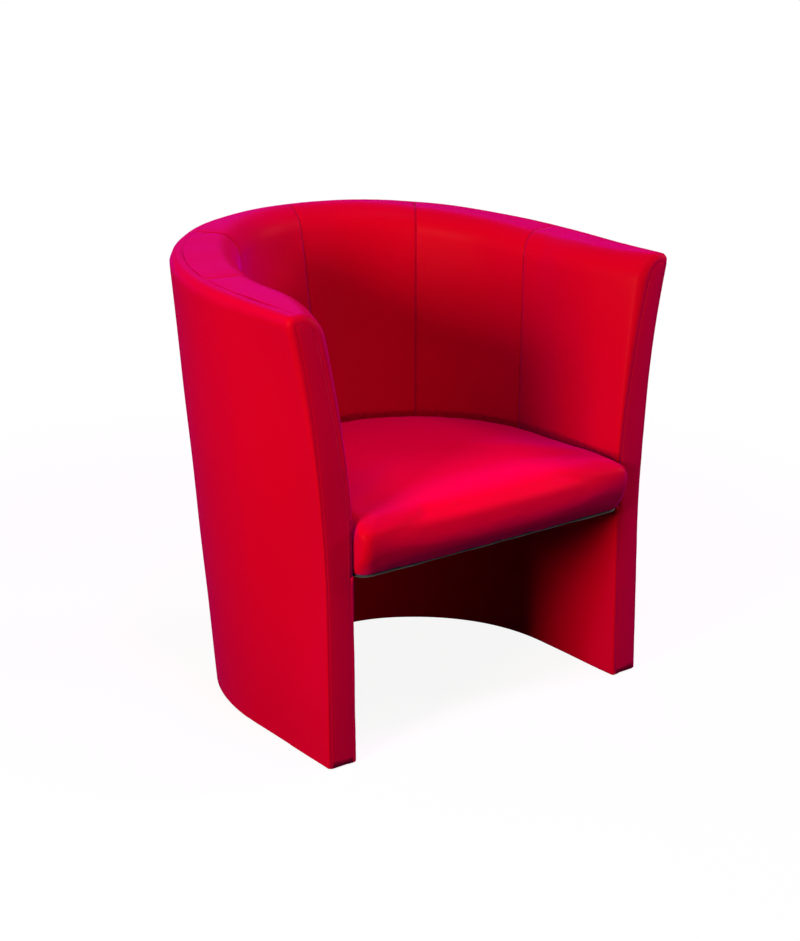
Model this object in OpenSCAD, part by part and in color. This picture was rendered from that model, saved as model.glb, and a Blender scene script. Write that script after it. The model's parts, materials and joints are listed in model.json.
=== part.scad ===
// Tub-shaped slipper chair: one padded wall wraps from arm to arm round a fixed D-shaped seat.
// Millimetres. +Z is up, the open front faces -Y, and the origin is on the floor at the middle
// of the chair's plan.

/* [Wall] */
// Width across the two arms at the floor
base_w = 630; // [580:5:690]
// Height of the arms
arm_h = 702; // [670:2:730]
// Height of the back at its middle
back_h = 741; // [732:1:780]
// Straight length of each arm, from its front face to where the back starts to curve
arm_len = 183; // [160:1:220]
// Depth of the curved back at the floor, from the end of the straight arms to the outside
back_depth = 336; // [310:1:360]
// How far each arm flares out at its top
arm_flare = 57; // [40:1:64]
// Height at which the arms start to flare
flare_from = 241; // [210:1:250]
// How far the outside of the back leans out, from the floor to its top
back_lean = 55; // [40:1:65]
// How far the front faces of the arms lean back, from the floor to the top
front_rake = 14; // [0:1:18]
// Thickness of the arms at the floor
arm_t = 50; // [48:1:56]
// Thickness of the arms just above the seat
arm_seat_t = 50; // [48:1:56]
// Thickness of the arms at their top
arm_top_t = 104; // [96:1:110]
// Thickness of the arms along their front faces
front_t = 55; // [50:1:60]
// Thickness of the back at the floor
back_t = 71; // [66:1:80]
// Thickness of the back just above the seat
back_seat_t = 103; // [94:1:110]
// Thickness of the back at its top
back_top_t = 55; // [53:1:64]

/* [Rim] */
// Radius of the rim's outer edge
rim_r = 16; // [13:1:18]
// Distance of the rim's seam from the rounded outer edge, over the top of the rim
rim_seam = 7; // [4:0.5:7.5]
// Width of the soft roll on the rim's inner edge
roll_w = 32; // [30:1:38]
// Height of the soft roll on the rim's inner edge
roll_h = 40; // [36:1:46]

/* [Seat] */
// Height of the seat's lower edge
seat_h = 298; // [286:1:310]
// Height of the cushion's front, from its lower edge up to where it turns over
nose_h = 84; // [76:1:92]
// Height of the cushion where it meets the back, above its lower edge
seat_side_h = 67; // [60:1:72]
// Rise of the cushion's crown above its front edge
crown_h = 24; // [16:1:30]
// How far the cushion stands out in front of the arms
nose_out = 26; // [18:1:32]

/* [Layers] */
// Thickness of the leathercloth covers
cover_t = 1.4; // [1:0.1:1.8]
// Thickness of the wadding under the covers
wadding_t = 5; // [4:0.5:6]
// Thickness of the hardboard panels
board_t = 3; // [2.5:0.5:4]
// Thickness of the foam on the inside of the arms
arm_foam_t = 10; // [8:1:11]
// Thickness of the foam on the inside of the back
back_foam_t = 24; // [20:1:26]
// Thickness of the foam over the rim
rim_foam_t = 9; // [8:0.5:10]
// Thickness of the foam round the seat frame
seat_foam_t = 7; // [6:0.5:10]
// Thickness of the plywood
ply_t = 18; // [15:1:21]

/* [Hidden] */
// Names of the separate pieces

// Clearance between one layer and the next
layer_gap = 0.3;
// Further clearance of the timber behind the boards and the foam
core_gap = 0.4;
// How far a cutting tool runs past the face that it cuts
cut_over = 1;
// Height of the floor glides under the covers
glide_h = 3;
// Radius of a floor glide
glide_r = 9.5;
// Chamfer on the lower edge of a floor glide
glide_edge = 1;
// Width of the covers' hems, turned in under the base
hem_w = 14;
// Power of the outer plan curve: 2 is an ellipse, and more is squarer
outer_power = 2.3;
// Power of the inner plan curve
inner_power = 2;
// Angle round the back from which the outside leans straight
lean_angle = 30;
// Least width of the flat part of the rim, between its outer edge and the roll
rim_flat = 8;
// Width of the stiff strip under the rim's outer edge
strip_w = 12;
// Height of the top rail
rail_h = 20;
// Thickness of the foam on the front faces of the arms
face_foam_t = 5;
// Width of the ledge that the seat rests on
ledge_w = 38;
// Depth of the platform's front member
platform_front_w = 60;
// Width of the seat frame's members
frame_w = 55;
// Clearance between the seat cushion and the inside of the tub
seat_gap = 0.6;
// How far the nose spreads in front of each arm
nose_over = 5;
// Extra swell of the nose at its middle
nose_bow = 6;
// Radius of the cushion's front corners in plan
seat_corner_r = 20;
// Shortest straight part behind a front corner of the cushion
corner_straight = 1;
// Inset of the cushion's top edge from its sides
seat_roll = 20;
// Width of the seat cover's hem under the seat frame
seat_hem_w = 14;
// Thickness of the dust cover under the seat
dust_t = 0.6;
// Inset of the dust cover from the seat's edge
dust_in = 6;
// Width and thickness of a webbing strap
strap_w = 60;
strap_t = 1.8;
// Spacing of the straps that run front to back, and of those that run across
long_pitch = 128;
cross_pitch = 96;
// Radius of a wood screw's shank and head, height of its head, and length of its point
screw_r = 2;
screw_head_r = 4;
screw_head_h = 2.6;
screw_tip = 5;
// Clearance of a screw in its hole
screw_gap = 0.05;
// Lengths of the screws in the base and top rails, in the posts' sides and in the seat frame
rail_screw_l = 40;
platform_screw_l = 60;
seat_screw_l = 32;
// Depth of the counterbores in the top rail
top_sink = 8;
// Depth of the other screw heads below the surface
head_sink = 1;
// Inset of the seat screws from the inside of the tub
seat_screw_in = 19;
// Angles of the seams between arm and side and between side and back, round the curved back
side_seam = 13.5;
back_seam = 54;
// Angles of the rear glides and of the rear seat screws
glide_angles = [12, 56, 84];
seat_screw_angles = [22, 58];
// Places of a screw along its post and across its rail, and of a seat screw along the arm
screw_along_share = 0.7;
rail_middle_share = 0.6;
arm_screw_share = 0.75;

// Numbers of flat strips: straight arm, arm to side seam, side panel and half of the back
arm_steps = 4;
seam_steps = 2;
side_steps = 6;
half_back_steps = 5;
// Numbers of levels and rounding steps in the wall's section
base_levels = 2;
flare_levels = 6;
inside_levels = 6;
corner_steps = 4;
roll_steps = 6;
post_levels = 6;
// Numbers of steps along the cushion's front and round its corners
nose_steps = 2;
corner_turns = 4;
// Rows up the cushion's edge: how far the front stands out and how high it is, then how far the
// sides draw in and how high they are
nose_out_shares = [0.3, 0.6, 0.84, 1, 0.93, 0.6, -0.05, -1.1];
nose_up_shares = [0, 0.18, 0.4, 0.64, 0.83, 0.95, 1.01, 1.04];
side_in_shares = [0, 0, 0, 0, 0, 0.12, 0.45, 1];
side_up_shares = [0, 0.25, 0.5, 0.75, 1, 1.09, 1.16, 1.21];
turn_from = 3;
// Rows over the cushion's top, from its edge to its middle
crown_shares = [0.84, 0.62, 0.38, 0.15];

// Heights that follow from the sizes above
cover_z = glide_h;
rail_z = cover_z + cover_t;
platform_z = seat_h - ply_t;
hem_z = seat_h + dust_t;
frame_z = hem_z + cover_t;
frame_top = frame_z + ply_t;
web_top = frame_top + 2 * strap_t;
// Distances of the layers from the outer face
wadding_out = cover_t + layer_gap;
strip_out = wadding_out + layer_gap;
strip_t = wadding_t - 2 * layer_gap;
board_out = wadding_out + wadding_t + layer_gap;
core_out = board_out + board_t + layer_gap;
// Distances of the layers from the lower inside face
board_low = cover_t + layer_gap + wadding_t + layer_gap;
core_low = board_low + board_t + layer_gap;
// Distances of the foam from the face above it and from the top of the rim
foam_in = cover_t + layer_gap;
foam_under = foam_in + rim_foam_t;
// Distances behind the arms' front faces at which the covers and the inner layers start
cover_start = cover_t + layer_gap;
core_start = cover_start + face_foam_t + layer_gap;
rail_start = core_start + core_gap;
// Inset of the pocket for the seat frame in the seat foam
pocket_in = cover_t + layer_gap + seat_foam_t;
// Middle of the chair's plan, from the most forward point of the cushion to the back
back_y = arm_len + depth_out(back_h - rim_r);
origin_y = (back_y - nose_out - nose_bow) / 2;
// Lean of the arms' front faces
front_tilt = atan(front_rake / back_h);

// Shared arithmetic
function mix(a, b, t) = a + (b - a) * t;
function ease(t) = t * t * (3 - 2 * t);
function clamp(t) = max(0, min(1, t));
function steps(a, b, n) = [for (i = [0 : n - 1]) mix(a, b, i / n)];
function reversed(list) = [for (i = [len(list) - 1 : -1 : 0]) list[i]];
function flat(list) = [for (p = list) [p.x, p.y]];

// A place u along the wall runs from 0 to 1 back along the right arm, from 1 to 2 round the back
// and from 2 to 3 forward along the left arm.
middle = 1.5;
function along(angle) = 1 + angle / 180;
function angle_at(u) = 180 * clamp(u - 1);
function behind(distance) = distance / arm_len;
function arm_share(u) = u < 1 ? 1 - u : max(0, u - 2);
function backness(u) = pow(sin(angle_at(u)), 2);
// Share of the way along the wall, from an arm's front face to the middle of the back
function way(side) = side < 1 ? side * arm_len : arm_len + (side - 1) * PI * back_depth;
function way_share(u) = way(min(u, 3 - u)) / way(middle);
// The rim rises a little along the arms, and the rest of its height round the back
function rim_height(u) =
    mix(arm_h, back_h, (backness(u) + pow(sin(90 * way_share(u)), 2)) / 2);
function foam_at(u) = mix(arm_foam_t, back_foam_t, backness(u));
// The way from the outside of the wall to its inside
function inward(u) = [-cos(angle_at(u)), -sin(angle_at(u))];

// Half width and curve depth of the outer, lower inner and upper inner faces
function half_out(z) =
    base_w / 2 + arm_flare * pow(max(0, (z - flare_from) / (arm_h - flare_from)), 2);
function half_lean(z) = base_w / 2 + arm_flare * z / arm_h;
function depth_out(z) = back_depth + back_lean * z / back_h;
function half_in(z) = mix(half_out(seat_h) - arm_seat_t, half_out(arm_h) - arm_top_t,
    (z - seat_h) / (arm_h - seat_h));
function depth_in(z) = mix(depth_out(seat_h) - back_seat_t, depth_out(back_h) - back_top_t,
    (z - seat_h) / (back_h - seat_h));
half_low = base_w / 2 - arm_t;
depth_low = back_depth - back_t;

// The arms' curved flare turns into a straight lean round the back
function blend(side) = ease(clamp(side / along(lean_angle)));

// Distance of a face from the wall's axis: the middle plane beside the arms, and the upright line
// at the end of the arms round the back
function reach(u, half, depth, power) = let (a = angle_at(u))
    pow(pow(abs(cos(a)) / half, power) + pow(sin(a) / depth, power), -1 / power);
function outer_reach(u, z) =
    let (side = u < middle ? u : 3 - u, half = mix(half_out(z), half_lean(z), blend(side)))
    reach(u, half, depth_out(z), outer_power);
function lower_reach(u) = reach(u, half_low, depth_low, inner_power);
function inner_reach(u, z) =
    let (front = max(half_out(z) - front_t, half_in(seat_h)), side = half_in(z))
    mix(reach(u, side, depth_in(z), inner_power), front, pow(arm_share(u), 2));
function wall_at(u, z) = outer_reach(u, z) - inner_reach(u, z);
function low_wall_at(u, z) = outer_reach(u, z) - lower_reach(u);

// A point at a place, a distance from the wall's axis and a height
function point(u, distance, z) =
    let (front = front_rake * z / back_h, p = -distance * inward(u))
    [p.x, p.y + arm_len * (1 - arm_share(u)) + front * ease(arm_share(u)) - origin_y, z];
function outer_point(u, t, z) = point(u, outer_reach(u, z) - t, z);
function inner_point(u, t, z) = point(u, inner_reach(u, z) + t, z);
function lower_point(u, t, z) = point(u, lower_reach(u) + t, z);

// Places of the sections along the wall, starting a distance behind the arms' front faces. The
// covers share the places of the layers behind them, so that they nest.
function arm_places(start) = start < core_start
    ? concat([behind(start)], steps(behind(core_start), 1, arm_steps))
    : steps(behind(start), 1, arm_steps);
seam_places = steps(1, along(side_seam), seam_steps);
side_places = steps(along(side_seam), along(back_seam), side_steps);
back_places = steps(along(back_seam), middle, half_back_steps);
curve_places = concat(seam_places, side_places, back_places);
function both(right) = concat(right, [for (u = reversed(right)) 3 - u]);
function around(right) = concat(right, [middle], [for (u = reversed(right)) 3 - u]);
function all_round(start) = around(concat(arm_places(start), curve_places));
core_places = arm_places(core_start);
post_end = core_places[1];
platform_start = post_end + behind(layer_gap);

// Places of the right-hand posts: front, side, quarter and back
post_places = [[core_places[0], core_places[1]], [core_places[3], 1],
    [side_places[4], side_places[5]], [back_places[1], back_places[2]]];

// Splits the patch between points i and k of one section and the next, on either diagonal
function patch(i, k, next, flip) = flip
    ? [[i, k, next + i], [k, next + k, next + i]]
    : [[i, k, next + k], [i, next + k, next + i]];

// Joins sections, each a loop of an even number of points, into one closed solid. The diagonals
// of the near and far faces match, and a mirrored solid has them mirrored on its left half, so
// that neighbouring layers nest.
module loft(sections, mirrored = false) {
    n = len(sections[0]);
    last = (len(sections) - 1) * n;
    sides = [for (a = [0 : n : last - n], i = [0 : n - 1])
        let (k = (i + 1) % n, far = i >= n / 2, left = mirrored && a >= last / 2)
        each [for (f = patch(i, k, n, far != left)) [for (v = f) a + v]]];
    ends = [for (i = [0 : n / 2 - 2])
        let (q = i + 1, r = n - 2 - i, s = n - 1 - i)
        each [[i, s, r], [i, r, q], [last + i, last + r, last + s], [last + i, last + q, last + r]]];
    polyhedron(points = [for (s = sections) each s], faces = concat(sides, ends), convexity = 10);
}

// Joins rings, from the one round the first pole to the one round the last pole, into one solid.
// The first rings are those of an inner face, whose diagonals match those of the outer face.
module shell(rings, inner_rings, first_pole, last_pole) {
    n = len(rings[0]);
    last = (len(rings) - 1) * n;
    count = last + n;
    sides = [for (a = [0 : n : last - n], i = [0 : n - 1])
        let (k = (i + 1) % n)
        each [for (f = patch(k, i, n, a < inner_rings * n)) [for (v = f) a + v]]];
    ends = [for (i = [0 : n - 1])
        let (k = (i + 1) % n)
        each [[i, k, count], [last + k, last + i, count + 1]]];
    polyhedron(points = concat([for (r = rings) each r], [first_pole, last_pole]),
        faces = concat(sides, ends), convexity = 10);
}

// Heights of the rows up the outer face, the last at the layer's own top
function outer_heights(u, low, high) = concat(steps(low, flare_from, base_levels),
    steps(flare_from, rim_height(u) - rim_r, flare_levels), [high]);
function outer_row(u, in, low, high) = [for (z = outer_heights(u, low, high)) outer_point(u, in, z)];
// Two faces of a layer of the outer face, up one and down the other
function outer_loop(u, near, far, low, high) =
    concat(outer_row(u, near, low, high), reversed(outer_row(u, far, low, high)));

// Width of the roll at a place, and the rows of points round the rim's outer edge, and over the
// roll and down the inside: over is the depth under the rim's top and in the depth behind the
// inside face
function roll_at(u) = min(roll_w, wall_at(u, rim_height(u)) - rim_r - rim_flat);
function edge_row(u, over) =
    let (high = rim_height(u), r = rim_r - over)
    [for (i = [0 : corner_steps])
        let (a = 90 * i / corner_steps)
        outer_point(u, over + r * (1 - cos(a)), high - over - r * (1 - sin(a)))];
function top_point(u, over, from_edge) = outer_point(u, rim_r + from_edge, rim_height(u) - over);
function on_roll(u, over, in, a) =
    let (z = rim_height(u) - roll_h + (roll_h - over) * cos(a), wide = roll_at(u))
    inner_point(u, wide - (wide - in) * sin(a), z);
function roll_row(u, over, in, low) = concat(
    [for (i = [1 : roll_steps]) on_roll(u, over, in, 90 * i / roll_steps)],
    [for (i = [1 : inside_levels])
        inner_point(u, in, mix(rim_height(u) - roll_h, low, i / inside_levels))]);
function inside_row(u, over, in, low) = concat(edge_row(u, over), roll_row(u, over, in, low));

// One sewn panel of the inside cover: from the rim's seam over the roll and down to the platform
function panel_row(u, in) =
    concat([top_point(u, in, rim_seam + layer_gap)], roll_row(u, in, in, seat_h));
module inside_panel(places) {
    loft([for (u = places) concat(panel_row(u, 0), reversed(panel_row(u, cover_t)))]);
}
// The outer cover's row: from the floor up the outside and over the rim's edge to the seam
function cover_row(u, in, low) = concat(
    outer_row(u, in, low, rim_height(u) - rim_r),
    [for (i = [1 : corner_steps]) edge_row(u, in)[i]],
    [top_point(u, in, rim_seam)]);

module outer_cover() {
    color([0.72, 0.03, 0.05])
    loft(mirrored = true, sections = [for (u = all_round(cover_start))
        concat([outer_point(u, hem_w, cover_z)], cover_row(u, 0, cover_z),
            reversed(cover_row(u, cover_t, rail_z)), [outer_point(u, hem_w, rail_z)])]);
}

module arm_panel_right() {
    color([0.78, 0.03, 0.06])
    inside_panel(concat(arm_places(cover_start), seam_places, [along(side_seam)]));
}
module arm_panel_left() { mirror([1, 0, 0]) arm_panel_right(); }

module side_panel_right() {
    color([0.75, 0.03, 0.06]) inside_panel(concat(side_places, [along(back_seam)]));
}
module side_panel_left() { mirror([1, 0, 0]) side_panel_right(); }

module back_panel_right() {
    color([0.72, 0.02, 0.05]) inside_panel(concat(back_places, [middle]));
}
module back_panel_left() { mirror([1, 0, 0]) back_panel_right(); }

// Outline of an arm's front face, drawn in from its edge by a depth, above a height
function face_outline(in, low) = [for (p = concat(
        [for (z = outer_heights(0, low, rim_height(0) - rim_r)) outer_point(0, in, z)],
        inside_row(0, in, in, seat_h),
        [lower_point(0, in, seat_h), lower_point(0, in, low)]))
    [p.x, p.z / cos(front_tilt)]];
module arm_face(in, low, from, thickness) {
    translate([0, from + thickness - origin_y, 0]) rotate([90 - front_tilt, 0, 0])
        linear_extrude(thickness) polygon(face_outline(in, low));
}
module arm_facing_right() { color([0.8, 0.04, 0.07]) arm_face(0, cover_z, 0, cover_t); }
module arm_facing_left() { mirror([1, 0, 0]) arm_facing_right(); }
module arm_face_foam_right() {
    color("khaki") arm_face(wadding_out, rail_z, cover_start, face_foam_t);
}
module arm_face_foam_left() { mirror([1, 0, 0]) arm_face_foam_right(); }

// Layers of the lower inside face, which stop under the platform but run up beside the front post
function lower_places(start) = around(concat(
    [behind(start), post_end, platform_start], [core_places[2], core_places[3]], curve_places));
function lower_top(u) = arm_share(u) > 1 - platform_start ? seat_h : platform_z;
module lower_layer(start, near, far, low) {
    loft(mirrored = true, sections = [for (u = lower_places(start))
        let (row = [lower_top(u), low])
        concat([for (z = row) lower_point(u, near, z)],
            [for (z = reversed(row)) lower_point(u, far, z)])]);
}
module lower_inside_cover() {
    color([0.6, 0.02, 0.04])
    loft(mirrored = true, sections = [for (u = lower_places(cover_start))
        [lower_point(u, 0, lower_top(u)), lower_point(u, 0, cover_z),
            lower_point(u, hem_w, cover_z), lower_point(u, hem_w, rail_z),
            lower_point(u, cover_t, rail_z), lower_point(u, cover_t, lower_top(u))]]);
}
module lower_wadding() {
    color("ivory") lower_layer(core_start, foam_in, foam_in + wadding_t, rail_z);
}
module lower_board() {
    color("peru") lower_layer(core_start, board_low, board_low + board_t, rail_z);
}

module edge_strip() {
    color("burlywood")
    loft(mirrored = true, sections = [for (u = all_round(core_start))
        let (high = rim_height(u) - rim_r - layer_gap, low = high - strip_w)
        [outer_point(u, strip_out, low), outer_point(u, strip_out, high),
            outer_point(u, strip_out + strip_t, high), outer_point(u, strip_out + strip_t, low)]]);
}
module outer_wadding() {
    color("ivory")
    loft(mirrored = true, sections = [for (u = all_round(core_start))
        let (high = rim_height(u) - rim_r - strip_w - 2 * layer_gap)
        outer_loop(u, wadding_out, wadding_out + wadding_t, rail_z, high)]);
}
module outer_board() {
    color("peru")
    loft(mirrored = true, sections = [for (u = all_round(core_start))
        outer_loop(u, board_out, board_out + board_t, rail_z, rim_height(u) - rim_r - layer_gap)]);
}

module tub_foam() {
    color("khaki")
    loft(mirrored = true, sections = [for (u = all_round(core_start))
        concat(inside_row(u, foam_in, foam_in, seat_h),
            reversed(inside_row(u, foam_under, foam_in + foam_at(u), seat_h)))]);
}
// Depth of the inside board's face behind the foam
function board_in(u) = foam_in + foam_at(u) + layer_gap;
module inside_board() {
    color("peru")
    loft(mirrored = true, sections = [for (u = all_round(core_start))
        let (heights = [for (i = [0 : inside_levels])
                mix(rim_height(u) - roll_h, seat_h, i / inside_levels)])
        concat([for (z = heights) inner_point(u, board_in(u), z)],
            [for (z = reversed(heights)) inner_point(u, board_in(u) + board_t, z)])]);
}

// Wood screws, head down at the origin and pointing up, and the hole that one sits in
module screw(length) {
    rotate_extrude($fn = 32) polygon([[0, 0], [screw_head_r, 0], [screw_r, screw_head_h],
        [screw_r, length - screw_tip], [0, length]]);
}
module screw_hole(length, above) {
    head = screw_head_r + screw_gap;
    shank = screw_r + screw_gap;
    rotate_extrude($fn = 32) polygon([[0, -above], [head, -above], [head, 0],
        [shank, screw_head_h], [shank, length - screw_tip], [0, length + screw_gap]]);
}
// Places of the screws: one for each post on both sides
function post_middle(i) = mix(post_places[i][0], post_places[i][1], screw_along_share);
function sides(places) = concat(places, [for (u = places) 3 - u]);
post_screws = sides([for (i = [0 : len(post_places) - 1]) post_middle(i)]);
platform_posts = sides([for (i = [1 : len(post_places) - 1]) post_middle(i)]);
seat_screw_places = sides(concat([arm_screw_share],
    [for (a = seat_screw_angles) along(a)]));
function rail_screw_at(u) =
    outer_point(u, mix(core_out, low_wall_at(u, rail_z) - core_low, 1 / 2), rail_z);
function top_screw_at(u) =
    let (z = rail_low(u))
    outer_point(u, mix(core_out, outer_reach(u, z) - rail_reach(u, z), rail_middle_share),
        rail_top(u) - top_sink);
module at_rail_screw(u) { translate(rail_screw_at(u) + [0, 0, head_sink]) children(); }
module at_top_screw(u) { translate(top_screw_at(u)) rotate([180, 0, 0]) children(); }
module at_platform_screw(u) {
    translate(lower_point(u, -ledge_w + head_sink, seat_h - ply_t / 2))
        rotate([0, 90, angle_at(u)]) children();
}
module at_seat_screw(u) {
    translate(inner_point(u, -seat_screw_in, platform_z + head_sink)) children();
}

module base_rail() {
    color("tan") difference() {
        translate([0, 0, rail_z]) linear_extrude(ply_t) polygon(flat(concat(
            [for (u = all_round(rail_start)) outer_point(u, core_out, rail_z)],
            [for (u = reversed(all_round(rail_start))) lower_point(u, core_low, rail_z)])));
        for (u = post_screws) at_rail_screw(u) screw_hole(rail_screw_l, head_sink + cut_over);
    }
}

// The top rail follows the underside of the rim's foam
rail_under = foam_under + layer_gap + core_gap;
function rail_top(u) = rim_height(u) - rail_under;
function rail_low(u) = rail_top(u) - rail_h;
function rail_in(u) = foam_in + foam_at(u) + layer_gap + core_gap;
function rail_reach(u, z) =
    let (rise = (z - rim_height(u) + roll_h) / (roll_h - rail_under), wide = roll_at(u))
    inner_reach(u, z) + wide - (wide - rail_in(u)) * sqrt(1 - pow(clamp(rise), 2));
function rail_corner(u, a) =
    let (r = rim_r - foam_under)
    outer_point(u, rim_r + core_gap - r * cos(a), rail_top(u) - r * (1 - sin(a)));
module top_rail() {
    color("tan") difference() {
        loft(mirrored = true, sections = [for (u = all_round(core_start))
            concat([outer_point(u, core_out + core_gap, rail_low(u))],
                [for (a = [0, 45, 90]) rail_corner(u, a)],
                [for (i = [1 : 3]) on_roll(u, rail_under, rail_in(u), 90 * i / roll_steps)],
                [point(u, rail_reach(u, rail_low(u)), rail_low(u))])]);
        for (u = post_screws) at_top_screw(u) screw_hole(rail_screw_l, top_sink + cut_over);
    }
}

// A post from the base rail to the top rail, which is notched through the platform
function post_row(u) = concat(
    [rail_z + ply_t, mix(rail_z, flare_from, 1 / base_levels), flare_from, platform_z],
    [for (i = [0 : post_levels]) mix(seat_h, rail_low(u) - layer_gap, i / post_levels)]);
function post_inside(u, z) = z < seat_h ? lower_reach(u) + core_low
    : rail_reach(u, z) + board_t + 6 * layer_gap;
module post(i) {
    color("burlywood") difference() {
        loft([for (u = post_places[i])
            concat([for (z = post_row(u)) outer_point(u, core_out + core_gap, z)],
                [for (z = reversed(post_row(u))) point(u, post_inside(u, z), z)])]);
        at_rail_screw(post_middle(i)) screw_hole(rail_screw_l, head_sink + cut_over);
        at_top_screw(post_middle(i)) screw_hole(rail_screw_l, top_sink + cut_over);
        if (i > 0)
            at_platform_screw(post_middle(i)) screw_hole(platform_screw_l, head_sink + cut_over);
    }
}
module front_post_right() { post(0); }
module front_post_left() { mirror([1, 0, 0]) post(0); }
module side_post_right() { post(1); }
module side_post_left() { mirror([1, 0, 0]) post(1); }
module quarter_post_right() { post(2); }
module quarter_post_left() { mirror([1, 0, 0]) post(2); }
module back_post_right() { post(3); }
module back_post_left() { mirror([1, 0, 0]) post(3); }

// The platform that carries the seat, notched round the posts and let into the wall
module post_notch(places) {
    spare = behind(layer_gap);
    first = places[0] - spare;
    last = places[1] + spare;
    linear_extrude(ply_t + 2 * cut_over) polygon(flat([
        outer_point(first, -cut_over, platform_z), outer_point(last, -cut_over, platform_z),
        lower_point(last, core_low - layer_gap, platform_z),
        lower_point(first, core_low - layer_gap, platform_z)]));
}
module seat_platform() {
    front = platform_start + behind(platform_front_w);
    places = concat([platform_start, core_places[2], core_places[3]], curve_places);
    opening = concat([front], curve_places);
    color("tan") difference() {
        translate([0, 0, platform_z]) linear_extrude(ply_t) difference() {
            polygon(flat([for (u = around(places)) outer_point(u, core_out, platform_z)]));
            polygon(flat([for (u = around(opening)) lower_point(u, -ledge_w, platform_z)]));
        }
        for (i = [1 : len(post_places) - 1], side = [0, 1])
            mirror([side, 0, 0]) translate([0, 0, platform_z - cut_over])
                post_notch(post_places[i]);
        for (u = platform_posts)
            at_platform_screw(u) screw_hole(platform_screw_l, head_sink + cut_over);
        for (u = seat_screw_places)
            at_seat_screw(u) screw_hole(seat_screw_l, head_sink + cut_over);
    }
}

// A ring round the cushion's edge, at a row up its edge and drawn in by a depth
seat_sides = [behind(-layer_gap), core_places[2]];
function seat_ring(row, in) =
    let (turn = 90 * clamp((row - turn_from) / (len(side_in_shares) - 1 - turn_from)),
         aside = in * cos(turn), down = in * sin(turn),
         front_z = hem_z + nose_h * nose_up_shares[row] - down,
         side_z = hem_z + seat_side_h * side_up_shares[row] - down,
         draw = seat_gap + seat_roll * side_in_shares[row] + aside,
         r = max(seat_corner_r - aside, layer_gap), out = nose_out * nose_out_shares[row],
         spare = out + front_rake * seat_h / back_h - seat_corner_r - seat_gap,
         half = inner_reach(0, seat_h) - draw + max(0, min(nose_over, spare)),
         y = aside - out - origin_y,
         nose = [for (i = [0 : nose_steps - 1]) let (x = i / nose_steps)
             [(half - r) * x, y - nose_bow * clamp(nose_out_shares[row]) * (1 - x * x), front_z]],
         corner = [for (i = [0 : corner_turns]) let (a = 90 * i / corner_turns)
             [half - r + r * sin(a), y + r - r * cos(a), front_z]],
         side = [for (u = concat(seat_sides, curve_places))
             let (z = mix(side_z, front_z, ease(arm_share(u))), p = inner_point(u, -draw, z))
             [p.x, max(p.y, y + r + corner_straight), p.z]])
    mirrored_ring(concat(nose, corner, side), inner_point(middle, -draw, side_z));
function mirrored_ring(right, back) = concat(right, [back],
    [for (i = [len(right) - 1 : -1 : 1]) [-right[i].x, right[i].y, right[i].z]]);
// Rings over the crown, from the edge towards the middle
function seat_pole(in) = [0, arm_len - origin_y, hem_z + nose_h + crown_h - in];
function crown_ring(share, in) =
    [for (p = seat_ring(len(side_in_shares) - 1, in))
        let (q = mix(seat_pole(in), p, share)) [q.x, q.y, mix(seat_pole(in).z, p.z, share * share)]];
function seat_rings(in) = concat([for (row = [0 : len(side_in_shares) - 1]) seat_ring(row, in)],
    [for (share = crown_shares) crown_ring(share, in)]);
function raised(ring, z) = [for (p = ring) [p.x, p.y, z]];

module seat_cover() {
    inside = seat_rings(cover_t);
    color([0.82, 0.04, 0.08])
    shell(concat(reversed([for (i = [1 : len(inside) - 1]) inside[i]]),
            [raised(inside[0], frame_z), raised(seat_ring(0, seat_hem_w), frame_z),
                raised(seat_ring(0, seat_hem_w), hem_z)], seat_rings(0)),
        len(inside) - 1, seat_pole(cover_t), seat_pole(0));
}
module seat_foam() {
    rings = seat_rings(cover_t + layer_gap);
    pocket = seat_ring(0, pocket_in);
    color("khaki")
    shell(concat([raised(pocket, web_top), raised(pocket, frame_z), raised(rings[0], frame_z)],
            [for (i = [1 : len(rings) - 1]) rings[i]]),
        0, [0, arm_len - origin_y, web_top], seat_pole(cover_t + layer_gap));
}
module seat_frame() {
    color("tan") difference() {
        translate([0, 0, frame_z]) linear_extrude(ply_t) difference() {
            polygon(flat(seat_ring(0, pocket_in + layer_gap)));
            polygon(flat(seat_ring(0, pocket_in + frame_w)));
        }
        for (u = seat_screw_places)
            at_seat_screw(u) screw_hole(seat_screw_l, head_sink + cut_over);
    }
}
module dust_cover() {
    color("dimgray") difference() {
        translate([0, 0, seat_h]) linear_extrude(dust_t) polygon(flat(seat_ring(0, dust_in)));
        for (u = seat_screw_places)
            at_seat_screw(u) screw_hole(seat_screw_l, head_sink + cut_over);
    }
}

// Webbing straps end half way across the frame's members
frame_half = inner_reach(0, seat_h) - pocket_in - frame_w / 2;
frame_depth = depth_in(seat_h) - pocket_in - frame_w / 2;
function frame_back(x) = arm_len + frame_depth * sqrt(1 - pow(x / frame_half, 2));
function frame_side(y) =
    frame_half * sqrt(1 - pow(max(0, y - arm_len) / frame_depth, 2));
frame_front = frame_w / 2;
module webbing_lengthwise() {
    color("wheat")
    for (i = [-1 : 1]) let (x = i * long_pitch, length = frame_back(abs(x)) - frame_front)
        translate([x - strap_w / 2, frame_front - origin_y, frame_top])
            cube([strap_w, length, strap_t]);
}
module webbing_crosswise() {
    color("wheat")
    for (i = [-1 : 1]) let (y = arm_len + i * cross_pitch, half = frame_side(y))
        translate([-half, y - strap_w / 2 - origin_y, frame_top + strap_t])
            cube([2 * half, strap_w, strap_t]);
}

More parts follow.
